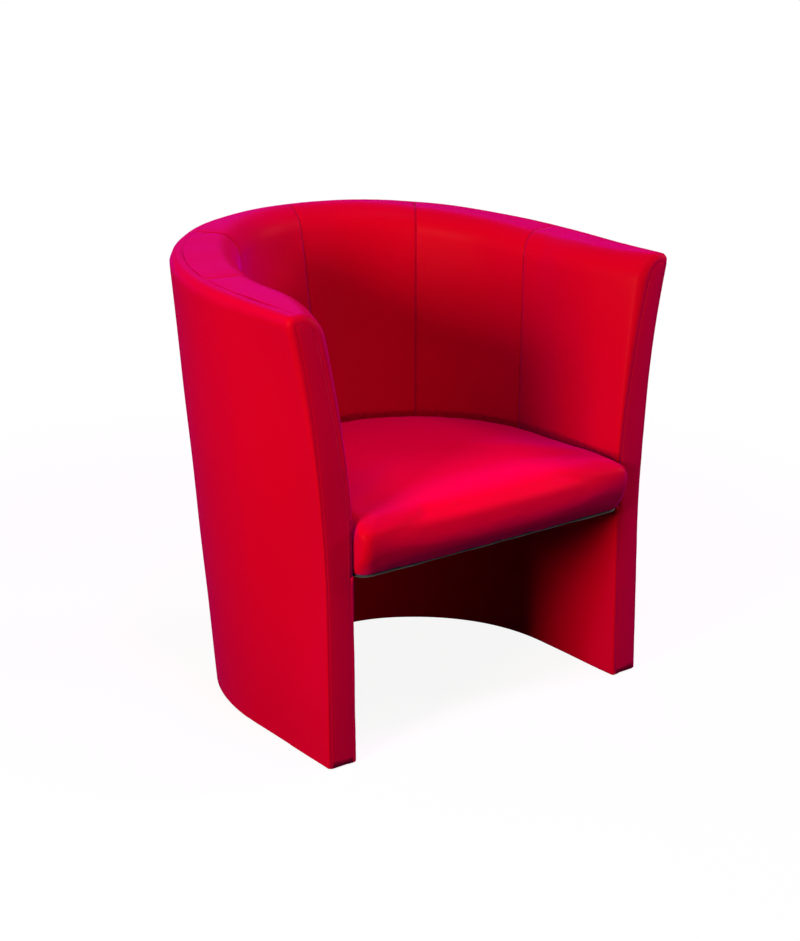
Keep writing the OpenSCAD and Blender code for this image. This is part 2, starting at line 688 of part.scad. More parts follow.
module base_screws() {
    color("silver") for (u = post_screws) at_rail_screw(u) screw(rail_screw_l);
}
module top_screws() {
    color("silver") for (u = post_screws) at_top_screw(u) screw(rail_screw_l);
}
module platform_screws() {
    color("silver") for (u = platform_posts) at_platform_screw(u) screw(platform_screw_l);
}
module seat_screws() {
    color("silver") for (u = seat_screw_places) at_seat_screw(u) screw(seat_screw_l);
}

glide_places = sides(concat([behind(core_start + glide_r + glide_edge)],
    [for (a = glide_angles) along(a)]));
module floor_glides() {
    color("black") for (u = glide_places) {
        p = rail_screw_at(u);
        translate([p.x, p.y, 0]) rotate_extrude($fn = 48) polygon([[0, 0],
            [glide_r - glide_edge, 0], [glide_r, glide_edge], [glide_r, rail_z], [0, rail_z]]);
    }
}

outer_cover();
arm_panel_left();
arm_panel_right();
side_panel_left();
side_panel_right();
back_panel_left();
back_panel_right();
arm_facing_left();
arm_facing_right();
lower_inside_cover();
edge_strip();
outer_wadding();
tub_foam();
lower_wadding();
arm_face_foam_left();
arm_face_foam_right();
outer_board();
inside_board();
lower_board();
base_rail();
top_rail();
front_post_left();
front_post_right();
side_post_left();
side_post_right();
quarter_post_left();
quarter_post_right();
back_post_left();
back_post_right();
seat_platform();
seat_frame();
webbing_lengthwise();
webbing_crosswise();
seat_foam();
seat_cover();
dust_cover();
base_screws();
top_screws();
platform_screws();
seat_screws();
floor_glides();
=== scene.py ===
"""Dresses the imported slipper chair: red leathercloth sewn over a padded tub, and a crowned seat.

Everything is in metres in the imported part's own frame: +Z is up, the open front faces -Y and the
origin is on the floor at the middle of the chair's plan.
"""

from __future__ import annotations

import json
import logging
import math
from dataclasses import dataclass
from enum import Enum
from typing import Callable, Iterable, Sequence

import bmesh
import bpy
import numpy as np
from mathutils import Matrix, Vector

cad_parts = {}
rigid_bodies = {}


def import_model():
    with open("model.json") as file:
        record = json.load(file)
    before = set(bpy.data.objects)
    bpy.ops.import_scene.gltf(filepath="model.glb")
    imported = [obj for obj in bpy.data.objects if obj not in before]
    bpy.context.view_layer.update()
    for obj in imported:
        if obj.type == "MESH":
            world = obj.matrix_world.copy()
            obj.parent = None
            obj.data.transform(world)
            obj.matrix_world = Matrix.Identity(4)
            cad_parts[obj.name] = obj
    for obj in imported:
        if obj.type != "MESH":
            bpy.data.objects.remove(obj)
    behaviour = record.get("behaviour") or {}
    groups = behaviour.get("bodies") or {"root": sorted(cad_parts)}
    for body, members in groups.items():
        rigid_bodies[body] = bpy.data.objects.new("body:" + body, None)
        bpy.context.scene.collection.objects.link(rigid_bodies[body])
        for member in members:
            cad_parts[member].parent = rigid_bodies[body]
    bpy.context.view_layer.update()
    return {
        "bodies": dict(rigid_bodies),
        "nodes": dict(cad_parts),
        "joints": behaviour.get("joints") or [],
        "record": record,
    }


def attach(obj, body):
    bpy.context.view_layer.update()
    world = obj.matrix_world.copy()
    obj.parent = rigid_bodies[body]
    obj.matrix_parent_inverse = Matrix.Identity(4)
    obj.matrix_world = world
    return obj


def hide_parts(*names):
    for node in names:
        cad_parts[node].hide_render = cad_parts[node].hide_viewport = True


LOG = logging.getLogger("slipper_chair")
BODY = "root"
MM = 0.001
FINE_ROWS = (0.0, 0.6, 1.2, 1.9, 2.7, 3.8, 5.2, 7.2, 9.8, 13.5, 18.5)

Array = np.ndarray
Color = tuple[float, float, float]
Place = tuple[float, float, float]


class Side(Enum):
    """Which arm of the chair a piece belongs to, as the sign of its X."""

    LEFT = -1
    RIGHT = 1

    @property
    def word(self) -> str:
        """The side's name in a node's name."""
        return self.name.lower()


def mix(a: Array | float, b: Array | float, t: Array | float) -> Array | float:
    """Blends a into b as t goes from 0 to 1."""
    return a + (b - a) * t


def ease(t: Array | float) -> Array | float:
    """Turns a straight ramp from 0 to 1 into one with soft ends."""
    t = np.clip(t, 0.0, 1.0)
    return t * t * (3.0 - 2.0 * t)


def ripple(points: Array, wavelength: float, seed: int) -> Array:
    """Smooth unevenness of a surface, the same on each run.

    Args:
        points: Places in metres, with the last axis of length 3.
        wavelength: Typical length of a ripple in metres.
        seed: Picks one pattern out of many.

    Returns:
        A value from about -1 to 1 for each place.
    """
    rng = np.random.default_rng(seed)
    total = np.zeros(points.shape[:-1])
    waves = 7
    for _ in range(waves):
        way = rng.normal(size=3)
        way /= np.linalg.norm(way)
        stretch = rng.uniform(0.7, 1.6)
        turn = 2.0 * np.pi / (wavelength * stretch)
        total += np.sin(points @ way * turn + rng.uniform(0.0, 2.0 * np.pi))
    return total / math.sqrt(waves)


def steps_between(start: float, end: float, step: float, fine: Sequence[float]) -> Array:
    """Distances from start to end, close together at both ends, where the seams are.

    Args:
        start: First distance in metres.
        end: Last distance in metres.
        step: Largest step in metres.
        fine: Distances from a seam at which there is a row.

    Returns:
        The rising distances.
    """
    length = end - start
    near = [f for f in fine if f < length * 0.45]
    first, last = near[-1], length - near[-1]
    count = max(2, math.ceil((last - first) / step))
    between = np.linspace(first, last, count + 1)[1:-1]
    return start + np.concatenate([near, between, [length - f for f in reversed(near)]])


def along_line(points: Array, shares: Array) -> Array:
    """Points at shares of the length of a line of points."""
    leaps = np.linalg.norm(np.diff(points, axis=0), axis=1)
    run = np.concatenate([[0.0], np.cumsum(leaps)])
    return np.stack([np.interp(shares * run[-1], run, axis) for axis in points.T], axis=-1)


@dataclass(frozen=True)
class TubForm:
    """The padded wall's sizes, in metres, and the faces that follow from them."""

    base_w: float = 0.630
    arm_h: float = 0.702
    back_h: float = 0.741
    arm_len: float = 0.183
    back_depth: float = 0.336
    arm_flare: float = 0.057
    flare_from: float = 0.241
    back_lean: float = 0.055
    front_rake: float = 0.014
    arm_t: float = 0.050
    arm_seat_t: float = 0.050
    arm_top_t: float = 0.104
    front_t: float = 0.055
    back_t: float = 0.071
    back_seat_t: float = 0.103
    back_top_t: float = 0.055
    rim_r: float = 0.016
    roll_w: float = 0.032
    roll_h: float = 0.040
    rim_flat: float = 0.008
    rim_seam: float = 0.007
    seat_h: float = 0.298
    ply_t: float = 0.018
    outer_power: float = 2.3
    inner_power: float = 2.0
    lean_angle: float = 30.0
    base_z: float = 0.003
    origin_y: float = 0.270406
    side_seam: float = 13.5
    back_seam: float = 54.0
    middle: float = 1.5

    def along(self, angle: float) -> float:
        """The place on the wall at an angle in degrees round the curved back."""
        return 1.0 + angle / 180.0

    def angle(self, u: Array) -> Array:
        """The angle in radians round the curved back of each place on the wall."""
        return np.pi * np.clip(u - 1.0, 0.0, 1.0)

    def arm_share(self, u: Array) -> Array:
        """How far forward on an arm each place is: 1 at the front face and 0 round the back."""
        return np.where(u < 1.0, 1.0 - u, np.maximum(0.0, u - 2.0))

    def rim_height(self, u: Array) -> Array:
        """Height of the rim, which rises a little along the arms and more round the back."""
        side = np.minimum(u, 3.0 - u)
        curve = np.pi * self.back_depth
        way = np.where(side < 1.0, side * self.arm_len, self.arm_len + (side - 1.0) * curve)
        share = way / (self.arm_len + (self.middle - 1.0) * curve)
        rise = mix(np.sin(self.angle(u)) ** 2, np.sin(np.pi / 2 * share) ** 2, 0.5)
        return mix(self.arm_h, self.back_h, rise)

    def half_out(self, z: Array) -> Array:
        """Half of the width outside the arms, which flare out in a curve."""
        rise = np.maximum(0.0, (z - self.flare_from) / (self.arm_h - self.flare_from))
        return self.base_w / 2 + self.arm_flare * rise**2

    def depth_out(self, z: Array) -> Array:
        """Depth of the curved back outside, which leans back in a straight line."""
        return self.back_depth + self.back_lean * z / self.back_h

    def half_in(self, z: Array) -> Array:
        """Half of the width between the arms over the seat."""
        low = self.half_out(np.float64(self.seat_h)) - self.arm_seat_t
        high = self.half_out(np.float64(self.arm_h)) - self.arm_top_t
        return mix(low, high, (z - self.seat_h) / (self.arm_h - self.seat_h))

    def depth_in(self, z: Array) -> Array:
        """Depth of the curved back inside, over the seat."""
        low = self.depth_out(self.seat_h) - self.back_seat_t
        high = self.depth_out(self.back_h) - self.back_top_t
        return mix(low, high, (z - self.seat_h) / (self.back_h - self.seat_h))

    def reach(self, u: Array, half: Array, depth: Array, power: float) -> Array:
        """Distance of a face with a rounded plan from the wall's axis."""
        a = self.angle(u)
        across = np.abs(np.cos(a)) / half
        back = np.abs(np.sin(a)) / depth
        return (across**power + back**power) ** (-1.0 / power)

    def outer_reach(self, u: Array, z: Array) -> Array:
        """Distance of the outer face from the wall's axis."""
        side = np.where(u < self.middle, u, 3.0 - u)
        straight = self.base_w / 2 + self.arm_flare * z / self.arm_h
        half = mix(self.half_out(z), straight, ease(side / self.along(self.lean_angle)))
        return self.reach(u, half, self.depth_out(z), self.outer_power)

    def inner_reach(self, u: Array, z: Array) -> Array:
        """Distance of the inside face over the seat from the wall's axis."""
        least = self.half_in(np.float64(self.seat_h))
        front = np.maximum(self.half_out(z) - self.front_t, least)
        back = self.reach(u, self.half_in(z), self.depth_in(z), self.inner_power)
        return mix(back, front, self.arm_share(u) ** 2)

    def lower_reach(self, u: Array) -> Array:
        """Distance of the inside face under the seat from the wall's axis."""
        half, depth = self.base_w / 2 - self.arm_t, self.back_depth - self.back_t
        return self.reach(u, half, depth, self.inner_power)

    def point(self, u: Array, distance: Array, z: Array) -> Array:
        """Points at a place on the wall, a distance from its axis and a height."""
        u, distance, z = np.broadcast_arrays(u, distance, z)
        a, share = self.angle(u), self.arm_share(u)
        rake = self.front_rake * z / self.back_h
        y = distance * np.sin(a) + self.arm_len * (1.0 - share) + rake * ease(share)
        return np.stack([distance * np.cos(a), y - self.origin_y, z], axis=-1)

    def outer(self, u: Array, depth: Array, z: Array) -> Array:
        """Points a depth behind the outer face."""
        return self.point(u, self.outer_reach(u, z) - depth, z)

    def inner(self, u: Array, depth: Array, z: Array) -> Array:
        """Points a depth behind the inside face over the seat."""
        return self.point(u, self.inner_reach(u, z) + depth, z)

    def lower(self, u: Array, depth: Array, z: Array) -> Array:
        """Points a depth behind the inside face under the seat."""
        return self.point(u, self.lower_reach(u) + depth, z)

    def front_y(self, z: Array | float) -> Array | float:
        """Where the arms' front faces are at a height."""
        return self.front_rake * z / self.back_h - self.origin_y

    def roll_width(self, u: Array) -> Array:
        """Width of the soft roll on the rim's inner edge."""
        high = self.rim_height(u)
        wall = self.outer_reach(u, high) - self.inner_reach(u, high)
        return np.minimum(self.roll_w, wall - self.rim_r - self.rim_flat)


@dataclass(frozen=True)
class RimPath:
    """The way round the rim's outer edge, and from its seam over the roll and down the inside."""

    form: TubForm
    fine: tuple[float, ...]
    step: float = 4.6 * MM
    dense: int = 40

    def edge(self, u: float, inset: float) -> Array:
        """The line round the rim's outer edge, up to its seam."""
        form, place = self.form, np.float64(u)
        high = form.rim_height(place)
        r = max(form.rim_r - inset, 1 * MM)
        arc = np.radians(np.linspace(0.0, 90.0, self.dense))
        corner = form.outer(
            place, inset + r * (1 - np.cos(arc)), high - inset - r * (1 - np.sin(arc))
        )
        return np.concatenate([corner, self.seam_point(u, inset)[None]])

    def seam_point(self, u: float, inset: float) -> Array:
        """Where the rim's seam is."""
        form, place = self.form, np.float64(u)
        return form.outer(place, form.rim_r + form.rim_seam, form.rim_height(place) - inset)

    def rows(self, u: float, inset: float) -> Array:
        """One section of the inside cover.

        Args:
            u: Place on the wall.
            inset: How far the section is drawn in from the cover's face.

        Returns:
            The points from the rim's seam over the roll and down the inside.
        """
        form, place = self.form, np.float64(u)
        high, wide = form.rim_height(place), form.roll_width(place)
        a = np.radians(np.linspace(0.0, 90.0, self.dense))
        over = high - form.roll_h + (form.roll_h - inset) * np.cos(a)
        roll = form.inner(place, wide - (wide - inset) * np.sin(a), over)
        heights = np.linspace(high - form.roll_h, form.seat_h, self.dense)[1:]
        inside = form.inner(place, inset, heights)
        line = np.concatenate([self.seam_point(u, inset)[None], roll, inside])
        return along_line(line, self.shares())

    def shares(self) -> Array:
        """Shares of a section's length at which it has a row, close together at the seam."""
        form = self.form
        length = form.arm_h - form.seat_h + form.arm_top_t
        rest = np.arange(self.fine[-1] + self.step, length, self.step)
        return np.concatenate([self.fine, rest[:-1], [length]]) / length


@dataclass(frozen=True)
class FrontTurn:
    """How the covers turn round the arms' front edges to the seams of the facings.

    The edges are round and soft at the top and tight from the seat down.
    """

    radius: float = 10.5 * MM
    low_radius: float = 3.0 * MM
    flat: float = 2.0 * MM
    rows: int = 9
    tight_to: float = 0.36
    soft_from: float = 0.70

    def share(self, z: Array) -> Array:
        """How soft the edge is at a height, from 0 to 1."""
        return ease((z - self.tight_to) / (self.soft_from - self.tight_to))

    def seam_in(self, share: float) -> float:
        """How far the seam is from the arm's edge."""
        return mix(self.low_radius, self.radius, share) + self.flat

    def columns(self, form: TubForm, share: float) -> list[tuple[float, float]]:
        """The sections from the facing's seam round the edge.

        Args:
            form: The wall's sizes.
            share: How soft the edge is.

        Returns:
            Pairs of a place on the wall and an inset, from the seam to the straight side.
        """
        radius = mix(self.low_radius, self.radius, share)
        near = (0.0, 0.3 * self.flat, 0.65 * self.flat)
        turned = [(0.0, self.seam_in(share) - n) for n in near]
        for phi in np.radians(np.linspace(90.0, 0.0, self.rows)):
            behind = radius * (1.0 - math.sin(phi))
            turned.append((behind / form.arm_len, radius * (1.0 - math.cos(phi))))
        return turned

    def sections(self, form: TubForm, row: Callable[[float, float], Array]) -> list[Array]:
        """The sections round the edge, each blended from a tight one and a soft one.

        Args:
            form: The wall's sizes.
            row: Gives the points of a section from a place and an inset.

        Returns:
            The points of each section.
        """
        made = []
        for tight, soft in zip(self.columns(form, 0.0), self.columns(form, 1.0)):
            low, high = row(*tight), row(*soft)
            made.append(mix(low, high, self.share(high[:, 2:])))
        return made


@dataclass(frozen=True)
class SeamShape:
    """How a padded cover swells between its seams and sinks at them."""

    swell: float = 2.2 * MM
    swell_over: float = 15.0 * MM
    groove: float = 1.0 * MM
    groove_w: float = 1.3 * MM
    pucker: float = 0.30 * MM
    pucker_over: float = 10.0 * MM
    pucker_wave: float = 16.0 * MM
    wave: float = 0.55 * MM
    wave_length: float = 95.0 * MM
    tuck: float = 0.9 * MM
    tuck_over: float = 38.0 * MM
    tuck_wave: float = 30.0 * MM

    def height(self, points: Array, seams: Iterable[tuple[Array, float, float]],
               tucks: Iterable[Array], seed: int) -> tuple[Array, Array]:
        """Height of the cover over its plain face.

        Args:
            points: Points of the plain face.
            seams: For each seam, the distance of each point from it, how far the swell sinks
                there and how clear its line is.
            tucks: For each edge that is pulled tight out of sight, the same distance.
            seed: Picks the pattern of the puckers.

        Returns:
            The height at each point, and how close each point is to a seam, from 0 to 1.
        """
        swell = np.ones(points.shape[:-1])
        near = np.zeros_like(swell)
        groove = np.zeros_like(swell)
        for s, sunk, clear in seams:
            swell *= 1.0 - sunk * np.exp(-s / self.swell_over)
            near = np.maximum(near, np.exp(-s / self.pucker_over) * (1 - np.exp(-s / (2 * MM))))
            groove = np.maximum(groove, clear * np.exp(-((s / self.groove_w) ** 2)))
        pull = self.pucker * near * ripple(points, self.pucker_wave, seed)
        soft = self.wave * swell * ripple(points, self.wave_length, seed + 1)
        upright = points * np.array([1.0, 1.0, 0.22])
        for s in tucks:
            fold = np.exp(-s / self.tuck_over) * swell
            soft += self.tuck * fold * (ripple(upright, self.tuck_wave, seed + 2) - 1.0)
        return self.swell * swell + pull + soft - self.groove * groove, groove


def grid_normals(grid: Array) -> Array:
    """Unit normals of a grid of points, turned the way that its quads face."""
    along = np.gradient(grid, axis=0)
    across = np.gradient(grid, axis=1)
    normal = np.cross(along, across)
    length = np.linalg.norm(normal, axis=-1, keepdims=True)
    return normal / np.maximum(length, 1e-12)


def run_lengths(grid: Array, axis: int, from_end: bool = False) -> Array:
    """Distance of each point from one edge of its grid, measured over the surface."""
    leaps = np.linalg.norm(np.diff(grid, axis=axis), axis=-1)
    pad = [(0, 0), (0, 0)]
    pad[axis] = (1, 0)
    run = np.cumsum(np.pad(leaps, pad), axis=axis)
    if from_end:
        return run.take([-1], axis=axis) - run
    return run


def smooth_object(name: str, vertices: Array, faces: Sequence[Sequence[int]]) -> bpy.types.Object:
    """Makes a smooth-shaded mesh object from points and faces."""
    mesh = bpy.data.meshes.new(name)
    mesh.from_pydata([tuple(v) for v in vertices], [], [tuple(f) for f in faces])
    mesh.update()
    mesh.polygons.foreach_set("use_smooth", [True] * len(mesh.polygons))
    made = bpy.data.objects.new(name, mesh)
    bpy.context.scene.collection.objects.link(made)
    return made


def vertex_values(made: bpy.types.Object, kind: str = "co") -> Array:
    """The places of an object's vertices, or their normals where "normal" is asked for."""
    found = np.empty(len(made.data.vertices) * 3)
    made.data.vertices.foreach_get(kind, found)
    return found.reshape(-1, 3)


def write_attribute(made: bpy.types.Object, name: str, values: Array) -> None:
    """Stores one number a vertex on an object's mesh."""
    attribute = made.data.attributes.new(name, "FLOAT", "POINT")
    attribute.data.foreach_set("value", np.asarray(values, np.float32).ravel())


def grid_faces(rows: int, columns: int, offset: int = 0) -> list[tuple[int, int, int, int]]:
    """Quads of a grid of points that is stored row by row."""
    return [
        (offset + i * columns + j, offset + (i + 1) * columns + j,
         offset + (i + 1) * columns + j + 1, offset + i * columns + j + 1)
        for i in range(rows - 1)
        for j in range(columns - 1)
    ]


def ring_faces(rings: int, count: int) -> list[tuple[int, ...]]:
    """Quads between closed rings of points that are stored one after another."""
    faces: list[tuple[int, ...]] = []
    for r in range(rings - 1):
        for j in range(count):
            k = (j + 1) % count
            a, b = r * count, (r + 1) * count
            faces.append((a + j, a + k, b + k, b + j))
    return faces


def close_solid(made: bpy.types.Object) -> None:
    """Fills an object's holes, splits its large flat faces and turns its normals outwards."""
    work = bmesh.new()
    work.from_mesh(made.data)
    bmesh.ops.holes_fill(work, edges=[e for e in work.edges if e.is_boundary], sides=0)
    bmesh.ops.triangulate(work, faces=[f for f in work.faces if len(f.verts) > 4])
    bmesh.ops.recalc_face_normals(work, faces=work.faces)
    work.to_mesh(made.data)
    work.free()
    made.data.polygons.foreach_set("use_smooth", [True] * len(made.data.polygons))


def shell_from_grid(name: str, grid: Array, seam: Array, thickness: float) -> bpy.types.Object:
    """Makes a closed cover of leathercloth from the grid of its outer face.

    Args:
        name: Name of the piece.
        grid: Points of the face that shows, with its normals pointing outwards.
        seam: How close each point is to a seam, with any painted crease shade added.
        thickness: Thickness of the leathercloth.

    Returns:
        The closed piece.
    """
    rows, columns = grid.shape[:2]
    back = grid - grid_normals(grid) * thickness
    count = rows * columns
    faces = grid_faces(rows, columns)
    faces += [tuple(reversed(f)) for f in grid_faces(rows, columns, count)]
    ring = [i * columns for i in range(rows)]
    ring += [(rows - 1) * columns + j for j in range(1, columns)]
    ring += [i * columns + columns - 1 for i in range(rows - 2, -1, -1)]
    ring += [j for j in range(columns - 2, 0, -1)]
    for a, b in zip(ring, ring[1:] + ring[:1]):
        faces.append((b, a, a + count, b + count))
    made = smooth_object(name, np.concatenate([grid, back]).reshape(-1, 3), faces)
    # The mask marks the seams' grime and, on the inside panels, painted shade in the crease by the
    # seat.
    write_attribute(made, "seam", np.concatenate([seam.ravel(), seam.ravel()]))
    return made


def mirrored(grid: Array) -> Array:
    """The other arm's grid, with its columns in the order that keeps the normals outwards."""
    turned = grid[::-1].copy()
    turned[..., 0] *= -1.0
    return turned


@dataclass
class TubCovers:
    """The covers of the padded wall: outside, six inside panels and the lower inside."""

    form: TubForm
    path: RimPath
    turn: FrontTurn
    seams: SeamShape
    taut: SeamShape
    cover_t: float = 1.3 * MM
    hem_w: float = 14.0 * MM
    hem_r: float = 1.5 * MM
    hem_points: int = 5
    rise_points: int = 60
    side_step: float = 9.0 * MM
    outer_back: int = 90
    lower_back: int = 70
    lower_rows_count: int = 34
    platform_in: float = 56.3 * MM
    faint: float = 0.1
    faint_level: float = 1.25 * MM
    # Painted shade in the crease where the seat cushion meets the inside panels: the height under
    # which it darkens them, and how far it fades.
    crease_shade_z: float = 0.388
    crease_shade_over: float = 5.0 * MM
    step: float = 6.0 * MM

    def curve_places(self, start: float, end: float) -> Array:
        """Places round the curved back, close together at the seams at both ends."""
        length = (end - start) * math.pi * self.form.half_in(np.float64(self.form.arm_h))
        run = steps_between(0.0, float(length), self.step, self.path.fine)
        return start + (end - start) * run / length

    def arm_places(self, seam_at: float) -> Array:
        """Places from the front edge's turn back along an arm to its first seam."""
        form = self.form
        turn = self.turn.radius / form.arm_len
        straight = np.arange(turn, 1.0, self.step / form.arm_len)[1:]
        curve = self.curve_places(2.0 - seam_at, seam_at)
        return np.concatenate([straight, curve[curve > 1.0 + 1e-3]])

    def round_places(self, count: int) -> Array:
        """Places from the front edge's turn to the middle of the back, with a count there."""
        form = self.form
        turn = self.turn.radius / form.arm_len
        straight = np.arange(turn, 1.0, self.step / form.arm_len)[1:]
        return np.concatenate([straight, np.linspace(1.0, form.middle, count)])

    def sections(self, places: Iterable[float], front: bool,
                 row: Callable[[float, float], Array]) -> Array:
        """The sections at places, with the turn round the front edge first where asked."""
        turned = self.turn.sections(self.form, row) if front else []
        return np.stack(turned + [row(float(u), 0.0) for u in places])

    def dress(self, name: str, grid: Array, shape: SeamShape, edges: Sequence[str],
              seed: int) -> bpy.types.Object:
        """Turns a plain face into a padded cover.

        Args:
            name: Name of the piece.
            grid: Points of the plain face.
            shape: How the cover swells and sinks.
            edges: Which edges of the grid are sewn: first, last, top or foot, or tucked foot.
                A faint one hardly shows. A tucked foot also gets painted crease shade.
            seed: Picks the pattern of the puckers.

        Returns:
            The closed cover.
        """
        runs: dict[str, Callable[[], Array]] = {
            "first": lambda: run_lengths(grid, 0),
            "last": lambda: run_lengths(grid, 0, from_end=True),
            "top": lambda: run_lengths(grid, 1),
            "foot": lambda: run_lengths(grid, 1, from_end=True),
        }
        faint = (1.0 - self.faint_level / shape.swell, self.faint)
        sewn = [(runs[e.removeprefix("faint ")](), *(faint if "faint" in e else (1.0, 1.0)))
                for e in edges if e.removeprefix("faint ") in runs]
        tucked = [runs["foot"]()] if "tucked foot" in edges else []
        height, seam = shape.height(grid, sewn, tucked, seed)
        dressed = grid + grid_normals(grid) * height[..., None]
        # A tucked foot also gets painted shade: the cover is darkened below the crease where the
        # seat cushion meets it.
        if tucked:
            seam = np.maximum(seam, ease((self.crease_shade_z - grid[..., 2]) / self.crease_shade_over))
        return shell_from_grid(name, dressed, seam, self.cover_t)

    def inside_panels(self) -> None:
        """Makes the six sewn panels of the inside cover."""
        form = self.form
        side, back = form.along(form.side_seam), form.along(form.back_seam)
        sewn = ("first", "last", "faint top", "tucked foot")
        arm_sewn = ("faint first", *sewn[1:])
        plans: list[tuple[str, Array, bool, tuple[str, ...]]] = [
            ("arm_panel", self.arm_places(side), True, arm_sewn),
            ("side_panel", self.curve_places(side, back), False, sewn),
            ("back_panel", self.curve_places(back, form.middle), False, sewn),
        ]
        other_way = {"first": "last", "last": "first", "faint first": "faint last"}
        for number, (name, places, front, edges) in enumerate(plans):
            grid = self.sections(places, front, self.path.rows)
            for arm in Side:
                shown, sewn_here = grid, edges
                if arm is Side.LEFT:
                    shown = mirrored(grid)
                    sewn_here = tuple(other_way.get(e, e) for e in edges)
                node = f"{name}_{arm.word}"
                piece = self.dress(f"{node}_sewn", shown, self.seams, sewn_here,
                                   seed=10 * number + arm.value + 1)
                finish_piece(piece, Finish.LEATHERCLOTH, (node,))

    def outer_rows(self, u: float, inset: float) -> Array:
        """One section of the outer cover, from its hem under the base to the rim's seam."""
        form = self.form
        place = np.float64(u)
        base = form.base_z
        arc = np.radians(np.linspace(0.0, 90.0, self.hem_points))
        hem = [form.outer(place, self.hem_w, base), form.outer(place, self.hem_w / 2, base)]
        turn = form.outer(place, inset + self.hem_r * (1 - np.sin(arc)),
                          base + self.hem_r * (1 - np.cos(arc)))
        edge = self.path.edge(u, inset)
        heights = np.linspace(turn[-1, 2], edge[0, 2], self.rise_points)[:-1]
        rising = form.outer(place, inset, heights)
        run = steps_between(0.0, form.arm_h, self.side_step, self.path.fine)
        side = along_line(np.concatenate([rising, edge]), run / run[-1])[1:]
        return np.concatenate([np.stack(hem), turn, side])

    def outer_cover(self) -> None:
        """Makes the one cover of the outside, with its hem turned in under the base."""
        half = self.sections(self.round_places(self.outer_back), True, self.outer_rows)
        whole = np.concatenate([half, mirrored(half)[1:]])[::-1]
        edges = ("faint first", "faint last", "faint foot")
        piece = self.dress("outer_cover_sewn", whole, self.taut, edges, seed=41)
        finish_piece(piece, Finish.LEATHERCLOTH, ("outer_cover",))

    def lower_rows(self, u: float, inset: float) -> Array:
        """One section of the lower inside cover, from its top edge to its hem."""
        form = self.form
        place = np.float64(u)
        base = form.base_z
        before = u * form.arm_len < self.platform_in
        high = form.seat_h if before else form.seat_h - form.ply_t
        arc = np.radians(np.linspace(0.0, 90.0, self.hem_points))
        heights = np.linspace(high, base + self.hem_r, self.lower_rows_count)
        turn = form.lower(place, inset + self.hem_r * (1 - np.cos(arc)),
                          base + self.hem_r * (1 - np.sin(arc)))
        hem = [form.lower(place, self.hem_w / 2 + inset / 2, base),
               form.lower(place, self.hem_w, base)]
        return np.concatenate([form.lower(place, inset, heights[:-1]), turn, np.stack(hem)])

    def lower_cover(self) -> None:
        """Makes the cover of the inside under the seat."""
        half = self.sections(self.round_places(self.lower_back), True, self.lower_rows)
        whole = np.concatenate([half, mirrored(half)[1:]])
        edges = ("faint first", "faint last")
        piece = self.dress("lower_inside_sewn", whole, self.taut, edges, seed=57)
        finish_piece(piece, Finish.LEATHERCLOTH, ("lower_inside_cover",))


@dataclass
class ArmFacing:
    """The padded panel sewn over the front end of an arm."""

    form: TubForm
    path: RimPath
    turn: FrontTurn
    seams: SeamShape
    depth: float = 6.6 * MM
    stitch_in: float = 3.4 * MM
    level: float = 1.25 * MM
    stitch_proud: float = 0.15 * MM
    foot_in: float = 1.2 * MM
    up_rows: int = 60
    rim_rows: int = 120
    down_rows: int = 34
    stitch_rows: int = 20
    seam_shares: tuple[float, ...] = (0.15, 0.2, 0.1)
    insets: tuple[float, ...] = tuple(
        f * MM for f in (0.0, 0.5, 1.1, 1.8, 2.7, 4.0, 5.8, 8.0, 10.5)
    )

    def outline_at(self, inset: float, share: float) -> Array:
        """The outline drawn in by an inset from the seam of a front edge with one softness."""
        form = self.form
        front = np.float64(0.0)
        over = self.turn.seam_in(share) + inset
        base = form.base_z + min(inset, self.foot_in)
        edge = self.path.edge(0.0, over)
        up = np.linspace(base, edge[0, 2], self.up_rows)[:-1]
        outside = form.outer(front, over, up)
        down = np.linspace(form.seat_h, base, self.down_rows)[1:]
        lower = form.lower(front, over, down)
        rim = along_line(np.concatenate([edge[:-1], self.path.rows(0.0, over)[1:]]),
                         np.linspace(0.0, 1.0, self.rim_rows))
        return np.concatenate([outside, rim, lower])

    def outline(self, inset: float) -> Array:
        """The facing's outline drawn in from its seam, up the outside and down the inside."""
        low, high = self.outline_at(inset, 0.0), self.outline_at(inset, 1.0)
        return mix(low, high, self.turn.share(high[:, 2:]))

    def surface_y(self, inset: Array) -> Array:
        """How far the facing stands out of the arm's front plane at an inset from its seam."""
        swell = self.seams.swell * (1 - np.exp(-inset / self.seams.swell_over))
        groove = self.seams.groove * np.exp(-((inset / self.seams.groove_w) ** 2))
        return self.level + swell - groove

    def build(self, arm: Side) -> bpy.types.Object:
        """Makes the closed facing of one arm."""
        rings = []
        for inset in self.insets:
            ring = self.outline(inset)
            ring[:, 1] -= self.surface_y(np.float64(inset))
            rings.append(ring)
        back = self.outline(0.0)
        back[:, 1] += self.depth
        count = len(back)
        vertices = np.concatenate([back, *rings])
        vertices[:, 0] *= arm.value
        faces = ring_faces(len(rings) + 1, count)
        made = smooth_object(f"arm_facing_{arm.word}_sewn", vertices, faces)
        close_solid(made)
        near = np.zeros(len(made.data.vertices))
        for ring, share in enumerate(self.seam_shares):
            near[ring * count: (ring + 1) * count] = share
        write_attribute(made, "seam", near)
        return made

    def dress(self) -> None:
        """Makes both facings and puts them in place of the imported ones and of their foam."""
        for arm in Side:
            piece = self.build(arm)
            nodes = (f"arm_facing_{arm.word}", f"arm_face_foam_{arm.word}")
            finish_piece(piece, Finish.LEATHERCLOTH, nodes)

    def seam_line(self, arm: Side) -> Array:
        """The row of stitches beside the facing's seam, over the rim and down the inside."""
        first, last = -self.rim_rows - self.stitch_rows, 1 - self.down_rows
        line = self.outline(self.stitch_in)[first:last]
        line[:, 1] -= self.surface_y(np.float64(self.stitch_in)) - self.stitch_proud
        line[:, 0] *= arm.value
        return line


